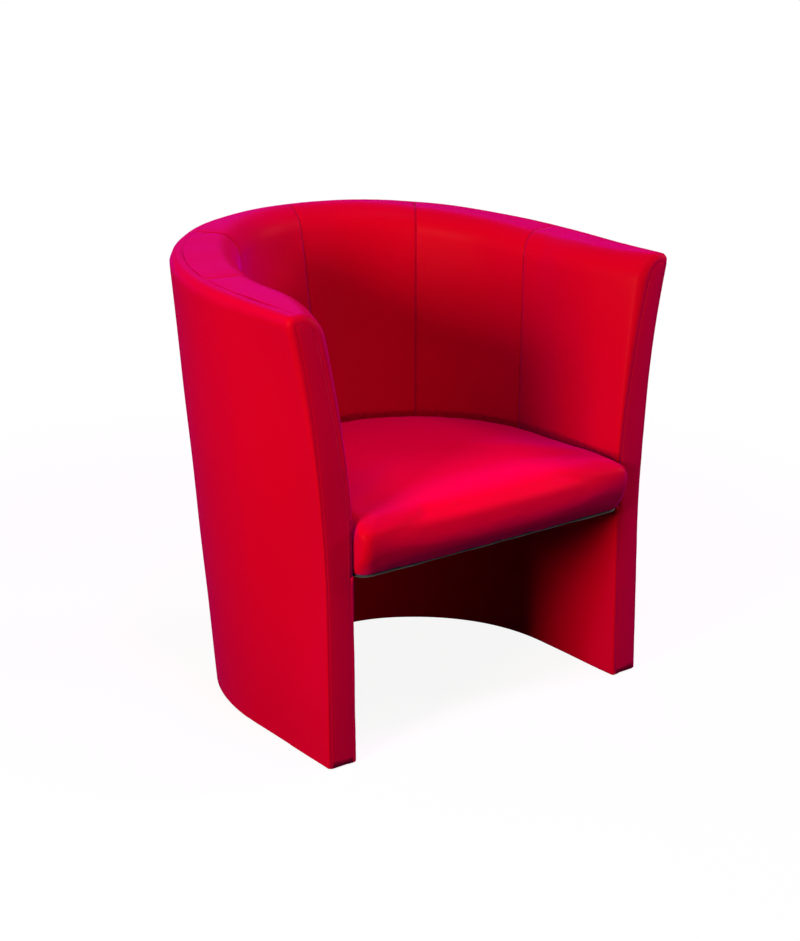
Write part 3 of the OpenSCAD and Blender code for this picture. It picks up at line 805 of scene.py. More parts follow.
@dataclass
class SeatCushion:
    """The padded seat: a crowned top that rolls over a nose in front of the arms."""

    form: TubForm
    hem_z: float = 0.2986
    nose_h: float = 0.084
    side_h: float = 0.067
    crown_h: float = 0.024
    nose_out: float = 0.026
    nose_over: float = 0.005
    nose_bow: float = 0.006
    corner_r: float = 0.020
    roll: float = 0.020
    clear: float = 3.2 * MM
    nose_clear: float = 1.8 * MM
    voxel: float = 4.2 * MM
    # How far the painted crease shade fades out from the wall.
    crease_shade_over: float = 2.6 * MM
    spare: float = 5.0 * MM
    side_gap: float = 1.0 * MM
    side_step: float = 0.2 * MM
    nose_points: int = 26
    corner_points: int = 9
    arm_points: int = 16
    back_points: int = 40
    rows: int = 43
    crown_shares: tuple[float, ...] = (0.9, 0.78, 0.65, 0.5, 0.35, 0.2, 0.08)
    held_h: float = 14.0 * MM
    held_over: float = 10.0 * MM
    tucked_share: float = 0.8
    tucked_over: float = 12.0 * MM
    pressure: float = 3.0
    cap: float = 4.0 * MM
    frames: int = 20
    quality: int = 6
    mass: float = 0.6
    stretch: float = 25.0
    shear: float = 10.0
    bending: float = 8.0
    softening: int = 9
    # Painted light on the seat's crown: how wide it stays strong, how far it falls off to the
    # sides, and the least share there.
    painted_light_w: float = 0.09
    painted_light_over: float = 0.13
    painted_light_least: float = 0.15
    pull_wave: float = 34.0 * MM
    pull_out: float = 0.9 * MM
    pull_up: float = 0.7 * MM
    pull_h: float = 16.0 * MM
    out_shares: tuple[float, ...] = (0.3, 0.62, 0.86, 1, 0.92, 0.5, -0.6, -2.6)
    up_shares: tuple[float, ...] = (0, 0.15, 0.33, 0.54, 0.74, 0.9, 1.02, 1.1)
    tight_out: tuple[float, ...] = (0.3, 0.62, 0.88, 1, 0.98, 0.74, 0.0, -1.6)
    tight_up: tuple[float, ...] = (0, 0.17, 0.38, 0.58, 0.76, 0.88, 0.96, 1.02)
    in_shares: tuple[float, ...] = (0, 0, 0, 0, 0, 0.12, 0.45, 1)
    side_up: tuple[float, ...] = (0, 0.25, 0.5, 0.75, 1, 1.09, 1.16, 1.21)

    @staticmethod
    def share(table: Sequence[float], row: float) -> float:
        """A value between the rows of a table, on a smooth curve through them."""
        values = np.array([table[0], *table, table[-1]], float)
        i = min(int(row), len(table) - 2)
        t = row - i
        a, b, c, d = values[i: i + 4]
        return float(b + 0.5 * t * (c - a + t * (2 * a - 5 * b + 4 * c - d
                                                 + t * (3 * (b - c) + d - a))))

    def ring(self, row: float) -> Array:
        """A ring round the cushion at a row up its edge, from the middle of the nose."""
        form = self.form
        inner = float(form.inner_reach(np.float64(0.0), np.float64(form.seat_h)))
        draw = self.clear + self.roll * self.share(self.in_shares, row)
        side_z = self.hem_z + self.side_h * self.share(self.side_up, row)

        def nose_at(x: Array) -> tuple[Array, Array]:
            tight = ease((x - 0.35) / 0.65)
            out = mix(self.share(self.out_shares, row), self.share(self.tight_out, row), tight)
            up = mix(self.share(self.up_shares, row), self.share(self.tight_up, row), tight)
            return out, up

        out_end, up_end = nose_at(np.float64(1.0))
        front_z = self.hem_z + self.nose_h * up_end
        spare = self.nose_out * out_end - self.corner_r + self.spare
        half = inner - draw + min(max(spare, 0.0), self.nose_over)
        x = np.linspace(0.0, 1.0, self.nose_points)[:-1]
        outs, ups = nose_at(x)
        bow = self.nose_bow * np.clip(self.share(self.out_shares, row), 0, 1)
        nose = np.stack([(half - self.corner_r) * x,
                         -self.nose_out * outs - bow * (1 - x * x) - form.origin_y,
                         self.hem_z + self.nose_h * ups], axis=-1)
        edge_y = -self.nose_out * out_end - form.origin_y
        a = np.radians(np.linspace(0.0, 90.0, self.corner_points))
        corner = np.stack([half - self.corner_r * (1 - np.sin(a)),
                           edge_y + self.corner_r * (1 - np.cos(a)),
                           np.full_like(a, front_z)], axis=-1)
        u = np.concatenate([np.linspace(0.02, 1.0, self.arm_points)[:-1],
                            np.linspace(1.0, form.middle, self.back_points)])
        z = mix(side_z, front_z, ease(form.arm_share(u)))
        side = form.inner(u, -draw, z)
        least_y = edge_y + self.corner_r + self.side_gap + np.arange(len(u)) * self.side_step
        side[:, 1] = np.maximum(side[:, 1], least_y)
        right = np.concatenate([nose, corner, side])
        left = right[-2:0:-1].copy()
        left[:, 0] *= -1
        return np.concatenate([right, left])

    def crown(self, ring: Array, share: float) -> Array:
        """A ring over the crown, drawn towards its highest point."""
        top = np.array([0.0, self.form.arm_len - self.form.origin_y,
                        self.hem_z + self.nose_h + self.crown_h])
        drawn = mix(top, ring, share)
        drawn[:, 2] = mix(top[2], ring[:, 2], share * share)
        return drawn

    def body(self) -> bpy.types.Object:
        """Makes the cushion's closed form, before it is filled."""
        rings = [self.ring(r) for r in np.linspace(0.0, len(self.side_up) - 1.0, self.rows)]
        rings += [self.crown(rings[-1], share) for share in self.crown_shares]
        count = len(rings[0])
        faces = ring_faces(len(rings), count)
        faces.append(tuple(range(count - 1, -1, -1)))
        faces.append(tuple((len(rings) - 1) * count + j for j in range(count)))
        return smooth_object("seat_cushion", np.concatenate(rings), faces)

    def remesh(self, piece: bpy.types.Object) -> None:
        """Gives the form an even mesh of small squares."""
        shrink = piece.modifiers.new("even_squares", "REMESH")
        shrink.mode = "VOXEL"
        shrink.voxel_size = self.voxel
        bake_modifiers(piece)

    def fill(self, piece: bpy.types.Object) -> None:
        """Swells the cover over its foam with a short cloth simulation."""
        rest = vertex_values(piece)
        held = piece.vertex_groups.new(name="held")
        low = ease((self.hem_z + self.held_h - rest[:, 2]) / self.held_over)
        behind = rest[:, 1] > self.form.front_y(self.form.seat_h)
        tucked_to = self.hem_z + self.tucked_share * self.side_h
        tucked = ease((tucked_to - rest[:, 2]) / self.tucked_over) * behind
        for index, weight in enumerate(np.maximum(low, tucked)):
            if weight > 0.01:
                held.add([index], float(weight), "REPLACE")
        cloth = piece.modifiers.new("filling", "CLOTH")
        settings = cloth.settings
        settings.quality, settings.mass = self.quality, self.mass
        settings.tension_stiffness = settings.compression_stiffness = self.stretch
        settings.shear_stiffness, settings.bending_stiffness = self.shear, self.bending
        settings.use_pressure = True
        settings.uniform_pressure_force = self.pressure
        settings.vertex_group_mass = held.name
        settings.effector_weights.gravity = 0.0
        cloth.collision_settings.use_collision = False
        cloth.point_cache.frame_start = 1
        cloth.point_cache.frame_end = self.frames
        scene = bpy.context.scene
        for frame in range(1, self.frames + 1):
            scene.frame_set(frame)
        found = piece.evaluated_get(bpy.context.evaluated_depsgraph_get())
        move = vertex_values(found) - rest
        length = np.linalg.norm(move, axis=1, keepdims=True)
        move *= np.minimum(1.0, self.cap / np.maximum(length, 1e-9))
        piece.modifiers.remove(cloth)
        scene.frame_set(1)
        piece.data.vertices.foreach_set("co", (rest + move).ravel())
        piece.vertex_groups.clear()
        piece.data.update()

    def wall_at(self, co: Array) -> tuple[Array, Array, Array]:
        """The wall beside points of the cushion.

        Args:
            co: Points in metres.

        Returns:
            How far behind the straight arms each point is, its distance from the wall's axis and
            the same distance of the wall's inside face.
        """
        form = self.form
        away = co[:, 1] + form.origin_y - form.arm_len
        radius = np.hypot(co[:, 0], np.maximum(away, 0.0))
        u = np.where(away > 0.0, 1.0 + np.arctan2(np.maximum(away, 0.0), co[:, 0]) / np.pi,
                     1.0 + away / form.arm_len)
        u = np.where((away <= 0.0) & (co[:, 0] < 0.0), 2.0 - away / form.arm_len, u)
        reach = form.inner_reach(np.clip(u, 0.0, 3.0), np.maximum(co[:, 2], form.seat_h))
        return away, radius, reach

    def crease(self, piece: bpy.types.Object) -> Array:
        """Painted shade in the crease beside the wall: how deep in it each point of the cushion
        is, from 0 to 1.
        """
        co = vertex_values(piece)
        _, radius, reach = self.wall_at(co)
        behind = ease((co[:, 1] - self.form.front_y(co[:, 2])) / (10 * MM))
        return behind * np.exp(-np.maximum(0.0, reach - self.clear - radius) / self.crease_shade_over)

    def painted_light(self, piece: bpy.types.Object) -> Array:
        """Painted light on each point of the cushion, most on the up-facing crown, from 0 to 1."""
        aside = np.abs(vertex_values(piece)[:, 0])
        crown = ease((vertex_values(piece, "normal")[:, 2] - 0.35) / 0.5)
        return crown * mix(1.0, self.painted_light_least, ease((aside - self.painted_light_w) / self.painted_light_over))

    def settle(self, piece: bpy.types.Object) -> None:
        """Keeps the cushion clear of the wall, and pulls its lower edge to its frame."""
        form = self.form
        co = vertex_values(piece)
        away, radius, reach = self.wall_at(co)
        room = reach - self.clear
        nose_room = form.inner_reach(np.zeros(len(co)), np.full(len(co), form.seat_h))
        ahead = ease((form.front_y(co[:, 2]) - co[:, 1]) / (6 * MM))
        room = mix(room, nose_room - self.nose_clear, ahead)
        scale = np.minimum(1.0, room / np.maximum(radius, 1e-6))
        co[:, 0] *= scale
        co[:, 1] = np.where(away > 0.0, away * scale + form.arm_len - form.origin_y, co[:, 1])
        edge = ease((self.hem_z + self.pull_h - co[:, 2]) / self.pull_h)
        front = ease((-form.origin_y + 5 * MM - co[:, 1]) / (20 * MM))
        pull = ripple(co * np.array([1.0, 0.2, 0.2]), self.pull_wave, 5)
        co[:, 1] += self.pull_out * pull * edge * front
        lifted = co[:, 2] + self.pull_up * pull * edge * front
        co[:, 2] = np.maximum(lifted, self.hem_z - 0.5 * MM)
        piece.data.vertices.foreach_set("co", co.ravel())
        piece.data.update()

    def build(self) -> None:
        """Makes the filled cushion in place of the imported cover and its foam."""
        piece = self.body()
        self.remesh(piece)
        self.fill(piece)
        self.settle(piece)
        soften = piece.modifiers.new("softened", "SMOOTH")
        soften.factor, soften.iterations = 0.5, self.softening
        bake_modifiers(piece)
        finer = piece.modifiers.new("finer", "SUBSURF")
        finer.levels = finer.render_levels = 1
        # The cushion's mask is painted shade in its crease against the wall.
        write_attribute(piece, "seam", self.crease(piece))
        # Painted light that lightens the up-facing crown of the cushion.
        write_attribute(piece, "painted_light", self.painted_light(piece))
        finish_piece(piece, Finish.LEATHERCLOTH, ("seat_cover", "seat_foam"))


def bake_modifiers(piece: bpy.types.Object) -> None:
    """Turns an object with modifiers into its plain result."""
    graph = bpy.context.evaluated_depsgraph_get()
    done = bpy.data.meshes.new_from_object(piece.evaluated_get(graph))
    piece.modifiers.clear()
    piece.data = done
    piece.data.polygons.foreach_set("use_smooth", [True] * len(done.polygons))


class Finish(Enum):
    """The finishes of the chair's materials, by the name of the material."""

    LEATHERCLOTH = "red_leathercloth"
    THREAD = "red_thread"
    FOAM = "upholstery_foam"
    WADDING = "wadding"
    CARD = "edge_card"
    HARDBOARD = "hardboard"
    PLYWOOD = "plywood"
    SOFTWOOD = "softwood"
    WEBBING = "webbing"
    BLACK_CLOTH = "black_cloth"
    STEEL = "screw_steel"
    GLIDE = "glide_plastic"


MATERIALS: dict[Finish, bpy.types.Material] = {}


def finish_piece(piece: bpy.types.Object, finish: Finish, nodes: Sequence[str]) -> None:
    """Gives a piece its material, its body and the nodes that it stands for."""
    piece.data.materials.clear()
    piece.data.materials.append(MATERIALS[finish])
    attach(piece, BODY)
    if nodes:
        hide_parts(*nodes)
    LOG.info("made %s with %d faces", piece.name, len(piece.data.polygons))


class NodeBuilder:
    """Places and links shader nodes in one tree."""

    def __init__(self, tree: bpy.types.NodeTree) -> None:
        """Starts on an empty tree."""
        self.tree = tree
        tree.nodes.clear()

    def add(self, kind: str, **settings: object) -> bpy.types.Node:
        """Adds a node.

        Args:
            kind: Blender's name of the node's type.
            **settings: Values of the node's own properties.

        Returns:
            The new node.
        """
        made = self.tree.nodes.new(kind)
        for key, value in settings.items():
            setattr(made, key, value)
        return made

    def feed(self, source: bpy.types.NodeSocket | float | Color,
             target: bpy.types.NodeSocket) -> None:
        """Links a socket to a target, or sets the target to a plain value or colour."""
        if isinstance(source, bpy.types.NodeSocket):
            self.tree.links.new(source, target)
        else:
            target.default_value = (*source, 1.0) if isinstance(source, tuple) else source

    def math(self, operation: str, *values: bpy.types.NodeSocket | float) -> bpy.types.NodeSocket:
        """A Math node of the values, as its output."""
        made = self.add("ShaderNodeMath", operation=operation)
        for value, target in zip(values, made.inputs):
            self.feed(value, target)
        return made.outputs[0]

    def noise(self, vector: bpy.types.NodeSocket, scale: float | bpy.types.NodeSocket,
              detail: float, roughness: float = 0.5) -> bpy.types.NodeSocket:
        """Noise at a vector, as its value from 0 to 1."""
        made = self.add("ShaderNodeTexNoise")
        self.feed(vector, made.inputs["Vector"])
        self.feed(scale, made.inputs["Scale"])
        self.feed(detail, made.inputs["Detail"])
        self.feed(roughness, made.inputs["Roughness"])
        return made.outputs["Fac"]

    def ramp(self, value: bpy.types.NodeSocket, low: float, high: float, to_low: float = 0.0,
             to_high: float = 1.0) -> bpy.types.NodeSocket:
        """A value mapped from one range to another with soft ends."""
        made = self.add("ShaderNodeMapRange", interpolation_type="SMOOTHSTEP")
        for target, given in zip(made.inputs, (value, low, high, to_low, to_high)):
            self.feed(given, target)
        return made.outputs["Result"]

    def blend(self, share: bpy.types.NodeSocket | float, a: bpy.types.NodeSocket | Color,
              b: bpy.types.NodeSocket | Color) -> bpy.types.NodeSocket:
        """Two colours mixed by a share."""
        made = self.add("ShaderNodeMix", data_type="RGBA")
        self.feed(share, made.inputs["Factor"])
        self.feed(a, made.inputs[6])
        self.feed(b, made.inputs[7])
        return made.outputs[2]

    def place(self) -> bpy.types.NodeSocket:
        """The Object coordinates of the surface."""
        return self.add("ShaderNodeTexCoord").outputs["Object"]

    def bump(self, height: bpy.types.NodeSocket, distance: float) -> bpy.types.NodeSocket:
        """A Bump node on a height, as its normal."""
        made = self.add("ShaderNodeBump")
        made.inputs["Strength"].default_value = 1.0
        made.inputs["Distance"].default_value = distance
        self.feed(height, made.inputs["Height"])
        return made.outputs["Normal"]


def new_group(name: str, values: dict[str, float],
              outputs: Sequence[str]) -> tuple[NodeBuilder, bpy.types.Node, bpy.types.Node]:
    """Starts a shader node group with a Vector and named values in, and named values out.

    Args:
        name: Name of the group.
        values: What each value is where nothing is given.
        outputs: Names of the values that come out.

    Returns:
        The builder of the group's tree, and its input and output nodes.
    """
    tree = bpy.data.node_groups.new(name, "ShaderNodeTree")
    tree.interface.new_socket("Vector", in_out="INPUT", socket_type="NodeSocketVector")
    for label, value in values.items():
        made = tree.interface.new_socket(label, in_out="INPUT", socket_type="NodeSocketFloat")
        made.default_value = value
    for label in outputs:
        tree.interface.new_socket(label, in_out="OUTPUT", socket_type="NodeSocketFloat")
    build = NodeBuilder(tree)
    return build, build.add("NodeGroupInput"), build.add("NodeGroupOutput")


def grain_group() -> bpy.types.NodeTree:
    """Pebbled grain of leathercloth, as a height and a mask of the valleys between pebbles."""
    build, given, out = new_group("pebble_grain", {"Pebbles": 700.0, "Unevenness": 0.35},
                                  ("Height", "Valley"))
    vector, pebbles = given.outputs["Vector"], given.outputs["Pebbles"]
    wander = build.add("ShaderNodeTexNoise")
    build.feed(vector, wander.inputs["Vector"])
    build.feed(build.math("MULTIPLY", pebbles, 0.35), wander.inputs["Scale"])
    wander.inputs["Detail"].default_value = 1.0
    shifted = build.add("ShaderNodeVectorMath", operation="MULTIPLY_ADD")
    build.feed(wander.outputs["Color"], shifted.inputs[0])
    shifted.inputs[1].default_value = (0.0012, 0.0012, 0.0012)
    build.feed(vector, shifted.inputs[2])
    cells = build.add("ShaderNodeTexVoronoi", feature="DISTANCE_TO_EDGE")
    build.feed(shifted.outputs[0], cells.inputs["Vector"])
    build.feed(pebbles, cells.inputs["Scale"])
    edge = build.ramp(cells.outputs["Distance"], 0.0, 0.32)
    fine = build.noise(vector, build.math("MULTIPLY", pebbles, 2.6), 2.0)
    broad = build.noise(vector, build.math("MULTIPLY", pebbles, 0.12), 2.0)
    level = build.math("MULTIPLY_ADD", fine, given.outputs["Unevenness"], edge)
    lift = build.math("MULTIPLY", given.outputs["Unevenness"], 1.4)
    total = build.math("MULTIPLY_ADD", broad, lift, level)
    build.feed(total, out.inputs["Height"])
    build.feed(build.math("SUBTRACT", 1.0, edge), out.inputs["Valley"])
    return build.tree


def wear_and_shade_group() -> bpy.types.NodeTree:
    """Soft blotches of handling, and grime in seams with painted shade in the seat's crease, as
    two masks.
    """
    build, given, out = new_group("handling_and_crease_shade", {"Seam": 0.0, "Blotches": 9.0},
                                  ("Polish", "Grime_and_shade"))
    vector = given.outputs["Vector"]
    broad = build.noise(vector, given.outputs["Blotches"], 3.0, 0.6)
    build.feed(build.ramp(broad, 0.35, 0.7), out.inputs["Polish"])
    # Seam grime and painted crease shade, broken up by specks.
    speck = build.noise(vector, build.math("MULTIPLY", given.outputs["Blotches"], 14.0), 2.0)
    speckled_grime_and_shade = build.math("MULTIPLY", given.outputs["Seam"], build.ramp(speck, 0.2, 0.7, 0.55, 1.0))
    build.feed(speckled_grime_and_shade, out.inputs["Grime_and_shade"])
    return build.tree


def fibre_group() -> bpy.types.NodeTree:
    """Long fibres or wood grain along one axis, as a height and a tone."""
    build, given, out = new_group("fibres", {"Scale": 60.0}, ("Height", "Tone"))
    vector, scale = given.outputs["Vector"], given.outputs["Scale"]
    fine = build.noise(vector, scale, 4.0, 0.6)
    slow = build.noise(vector, build.math("MULTIPLY", scale, 0.18), 2.0)
    tone = build.math("MULTIPLY_ADD", slow, 0.7, build.math("MULTIPLY", fine, 0.3))
    build.feed(fine, out.inputs["Height"])
    build.feed(tone, out.inputs["Tone"])
    return build.tree


def weave_group() -> bpy.types.NodeTree:
    """Plain weave of threads in three directions, as a height and a tone."""
    build, given, out = new_group("plain_weave", {"Threads": 900.0}, ("Height", "Tone"))
    split = build.add("ShaderNodeSeparateXYZ")
    build.feed(given.outputs["Vector"], split.inputs[0])
    turn = build.math("MULTIPLY", given.outputs["Threads"], 2.0 * math.pi)
    waves = [build.math("SINE", build.math("MULTIPLY", axis, turn)) for axis in split.outputs]
    across = build.math("MULTIPLY", waves[0], waves[1])
    height = build.math("MULTIPLY_ADD", build.math("MULTIPLY", across, waves[2]), 0.25,
                        build.math("MULTIPLY_ADD", across, 0.35, 0.5))
    loose = build.noise(given.outputs["Vector"], 300.0, 2.0)
    tone = build.math("MULTIPLY_ADD", loose, 0.5, build.math("MULTIPLY", height, 0.5))
    build.feed(height, out.inputs["Height"])
    build.feed(tone, out.inputs["Tone"])
    return build.tree


@dataclass(frozen=True)
class Surface:
    """Plain values of a material's shader."""

    dark: Color
    light: Color
    roughness: float
    roughness_spread: float
    bump: float
    specular: float = 0.5
    metallic: float = 0.0
    sheen: float = 0.0
    sheen_roughness: float = 0.5
    sheen_tint: Color = (1.0, 1.0, 1.0)
    coat: float = 0.0
    coat_roughness: float = 0.2
    coat_ior: float = 1.4

    def shader(self, build: NodeBuilder) -> bpy.types.Node:
        """Adds the shader with the values that are the same all over, and its output."""
        made = build.add("ShaderNodeBsdfPrincipled")
        values = {
            "Metallic": self.metallic, "Specular IOR Level": self.specular,
            "Sheen Weight": self.sheen, "Sheen Roughness": self.sheen_roughness,
            "Sheen Tint": self.sheen_tint, "Coat Weight": self.coat,
            "Coat Roughness": self.coat_roughness, "Coat IOR": self.coat_ior,
        }
        for name, value in values.items():
            build.feed(value, made.inputs[name])
        out = build.add("ShaderNodeOutputMaterial")
        build.tree.links.new(made.outputs[0], out.inputs["Surface"])
        return made

    def rough(self, build: NodeBuilder, tone: bpy.types.NodeSocket) -> bpy.types.NodeSocket:
        """The roughness, which grows with a tone."""
        return build.math("MULTIPLY_ADD", tone, self.roughness_spread, self.roughness)


@dataclass(frozen=True)
class LeatherMarksAndPaintedLight:
    """How strongly the grain, seam grime, painted crease shade and painted crown light show in the
    leathercloth.
    """

    tone_scale: float = 5.0
    valley: float = 0.22
    valley_shade: float = 0.55
    valley_rough: float = 0.12
    # Seam grime with painted crease shade: its strength, darkness and roughness.
    grime_and_shade: float = 0.7
    grime_and_shade_darkness: float = 0.30
    grime_and_shade_rough: float = 0.2
    # How much lighter the painted light on the crown makes the colour.
    painted_light: float = 1.32


def shaded(color: Color, share: float) -> Color:
    """A colour made darker or lighter."""
    return tuple(value * share for value in color)


class Workshop:
    """Makes every material of the chair once, from shared groups."""

    def __init__(self) -> None:
        """Builds the shared groups."""
        self.grain = grain_group()
        self.wear_and_shade = wear_and_shade_group()
        self.fibres = fibre_group()
        self.weave = weave_group()

    @staticmethod
    def start(finish: Finish) -> NodeBuilder:
        """Starts an empty material and keeps it under its finish."""
        made = bpy.data.materials.new(finish.value)
        made.use_nodes = True
        MATERIALS[finish] = made
        return NodeBuilder(made.node_tree)

    def use(self, build: NodeBuilder, group: bpy.types.NodeTree,
            **values: bpy.types.NodeSocket | float) -> bpy.types.Node:
        """Places a group in a material, with its inputs by name."""
        made = build.add("ShaderNodeGroup", node_tree=group)
        for key, value in values.items():
            build.feed(value, made.inputs[key])
        return made

    @staticmethod
    def complete(build: NodeBuilder, look: Surface, color: bpy.types.NodeSocket,
                 roughness: bpy.types.NodeSocket, height: bpy.types.NodeSocket) -> None:
        """Adds the shader with what changes over the surface."""
        shader = look.shader(build)
        build.feed(color, shader.inputs["Base Color"])
        build.feed(roughness, shader.inputs["Roughness"])
        build.feed(build.bump(height, look.bump), shader.inputs["Normal"])

    def leathercloth(self, finish: Finish, look: Surface, pebbles: float) -> None:
        """Makes the pebbled, slightly glossy leathercloth."""
        build, marks = self.start(finish), LeatherMarksAndPaintedLight()
        place = build.place()
        seam, painted_light = (build.add("ShaderNodeAttribute", attribute_name=name).outputs["Fac"]
                       for name in ("seam", "painted_light"))
        grain = self.use(build, self.grain, Vector=place, Pebbles=pebbles)
        wear_and_shade = self.use(build, self.wear_and_shade, Vector=place, Seam=seam)
        valley, grime_and_shade = grain.outputs["Valley"], wear_and_shade.outputs["Grime_and_shade"]
        color = build.blend(build.noise(place, marks.tone_scale, 3.0), look.dark, look.light)
        color = build.blend(build.math("MULTIPLY", valley, marks.valley), color,
                            shaded(look.dark, marks.valley_shade))
        # Painted light: the cushion's up-facing crown is drawn lighter.
        color = build.blend(painted_light, color, shaded(look.light, marks.painted_light))
        # Seam grime, and painted shade in the crease by the seat, darken the colour.
        color = build.blend(build.math("MULTIPLY", grime_and_shade, marks.grime_and_shade), color,
                            shaded(look.dark, marks.grime_and_shade_darkness))
        rough = build.math("MULTIPLY_ADD", wear_and_shade.outputs["Polish"], -look.roughness_spread,
                           look.roughness)
        rough = build.math("MULTIPLY_ADD", valley, marks.valley_rough, rough)
        rough = build.math("MULTIPLY_ADD", grime_and_shade, marks.grime_and_shade_rough, rough)
        self.complete(build, look, color, rough, grain.outputs["Height"])

    def wood(self, finish: Finish, look: Surface, scale: float, stretch: Place,
             ply: float = 0.0) -> None:
        """Makes a wood or board, with plies across Z where their thickness is given."""
        build = self.start(finish)
        place = build.place()
        mapping = build.add("ShaderNodeMapping")
        mapping.inputs["Scale"].default_value = stretch
        build.feed(place, mapping.inputs["Vector"])
        fibres = self.use(build, self.fibres, Vector=mapping.outputs[0], Scale=scale)
        color = build.blend(fibres.outputs["Tone"], look.dark, look.light)
        if ply:
            split = build.add("ShaderNodeSeparateXYZ")
            build.feed(place, split.inputs[0])
            bands = build.math("SINE", build.math("MULTIPLY", split.outputs[2], math.pi / ply))
            facing = build.add("ShaderNodeSeparateXYZ")
            build.feed(build.add("ShaderNodeNewGeometry").outputs["Normal"], facing.inputs[0])
            edge = build.ramp(build.math("ABSOLUTE", facing.outputs[2]), 0.5, 0.2)
            dark = build.math("MULTIPLY", build.ramp(bands, 0.1, 0.5), edge)
            color = build.blend(build.math("MULTIPLY", dark, 0.6), color, shaded(look.dark, 0.5))
        self.complete(build, look, color, look.rough(build, fibres.outputs["Tone"]),
                      fibres.outputs["Height"])

    def cloth(self, finish: Finish, look: Surface, threads: float) -> None:
        """Makes a woven cloth."""
        build = self.start(finish)
        weave = self.use(build, self.weave, Vector=build.place(), Threads=threads)
        tone = weave.outputs["Tone"]
        self.complete(build, look, build.blend(tone, look.dark, look.light),
                      look.rough(build, tone), weave.outputs["Height"])

    def grainy(self, finish: Finish, look: Surface, scale: float) -> None:
        """Makes a speckled material, such as foam, wadding, card, steel or moulded plastic."""
        build = self.start(finish)
        place = build.place()
        fine = build.noise(place, scale, 4.0, 0.65)
        broad = build.noise(place, scale * 0.05, 2.0)
        tone = build.math("MULTIPLY_ADD", fine, 0.6, build.math("MULTIPLY", broad, 0.4))
        self.complete(build, look, build.blend(tone, look.dark, look.light),
                      look.rough(build, fine), fine)

    def stock(self) -> None:
        """Makes all the chair's finishes."""
        red = Surface(dark=(0.44, 0.0, 0.007), light=(0.52, 0.0, 0.011), roughness=0.42,
                      roughness_spread=0.07, bump=0.05 * MM, specular=0.0, sheen=0.32,
                      sheen_roughness=0.45, sheen_tint=(0.60, 0.0, 0.85), coat=0.03,
                      coat_roughness=0.42)
        thread = Surface((0.45, 0.0, 0.01), (0.62, 0.0, 0.02), 0.55, 0.1, 0.03 * MM, specular=0.2)
        webbing = Surface((0.45, 0.39, 0.28), (0.72, 0.65, 0.50), 0.8, 0.1, 0.3 * MM)
        black = Surface((0.006, 0.010, 0.011), (0.02, 0.03, 0.032), 0.7, 0.15, 0.15 * MM,
                        sheen=0.1)
        foam = Surface((0.70, 0.60, 0.34), (0.88, 0.80, 0.55), 0.8, 0.1, 0.3 * MM)
        wadding = Surface((0.75, 0.74, 0.70), (0.92, 0.91, 0.88), 0.85, 0.1, 0.5 * MM)
        card = Surface((0.42, 0.31, 0.19), (0.58, 0.45, 0.30), 0.75, 0.1, 0.1 * MM)
        steel = Surface((0.42, 0.42, 0.43), (0.62, 0.62, 0.64), 0.28, 0.15, 0.02 * MM,
                        metallic=1.0)
        glide = Surface((0.012, 0.012, 0.013), (0.03, 0.03, 0.032), 0.45, 0.15, 0.04 * MM)
        hardboard = Surface((0.22, 0.13, 0.06), (0.36, 0.23, 0.12), 0.6, 0.1, 0.08 * MM)
        plywood = Surface((0.46, 0.31, 0.17), (0.72, 0.55, 0.36), 0.55, 0.12, 0.12 * MM)
        softwood = Surface((0.52, 0.36, 0.20), (0.80, 0.64, 0.43), 0.6, 0.1, 0.12 * MM)
        self.leathercloth(Finish.LEATHERCLOTH, red, pebbles=650.0)
        for finish, look, threads in ((Finish.THREAD, thread, 2500.0),
                                      (Finish.WEBBING, webbing, 420.0),
                                      (Finish.BLACK_CLOTH, black, 900.0)):
            self.cloth(finish, look, threads)
        for finish, look, scale in ((Finish.FOAM, foam, 900.0), (Finish.WADDING, wadding, 240.0),
                                    (Finish.CARD, card, 500.0), (Finish.STEEL, steel, 700.0),
                                    (Finish.GLIDE, glide, 800.0)):
            self.grainy(finish, look, scale)
        self.wood(Finish.HARDBOARD, hardboard, 260.0, stretch=(1.0, 1.0, 1.0))
        self.wood(Finish.PLYWOOD, plywood, 90.0, stretch=(0.12, 1.0, 1.0), ply=1.5 * MM)
        self.wood(Finish.SOFTWOOD, softwood, 110.0, stretch=(1.0, 1.0, 0.08))

    @staticmethod
    def dress_frame(nodes: dict[str, bpy.types.Object]) -> None:
        """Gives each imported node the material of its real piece."""
        words = {
            "cover": Finish.LEATHERCLOTH, "panel": Finish.LEATHERCLOTH,
            "facing": Finish.LEATHERCLOTH,
            "strip": Finish.CARD, "wadding": Finish.WADDING, "foam": Finish.FOAM,
            "board": Finish.HARDBOARD, "rail": Finish.PLYWOOD, "platform": Finish.PLYWOOD,
            "seat_frame": Finish.PLYWOOD, "post": Finish.SOFTWOOD, "webbing": Finish.WEBBING,
            "screws": Finish.STEEL, "dust_cover": Finish.BLACK_CLOTH, "glides": Finish.GLIDE,
        }
        for name, node in nodes.items():
            found = [finish for word, finish in words.items() if word in name]
            node.data.materials.clear()
            node.data.materials.append(MATERIALS[found[-1]])


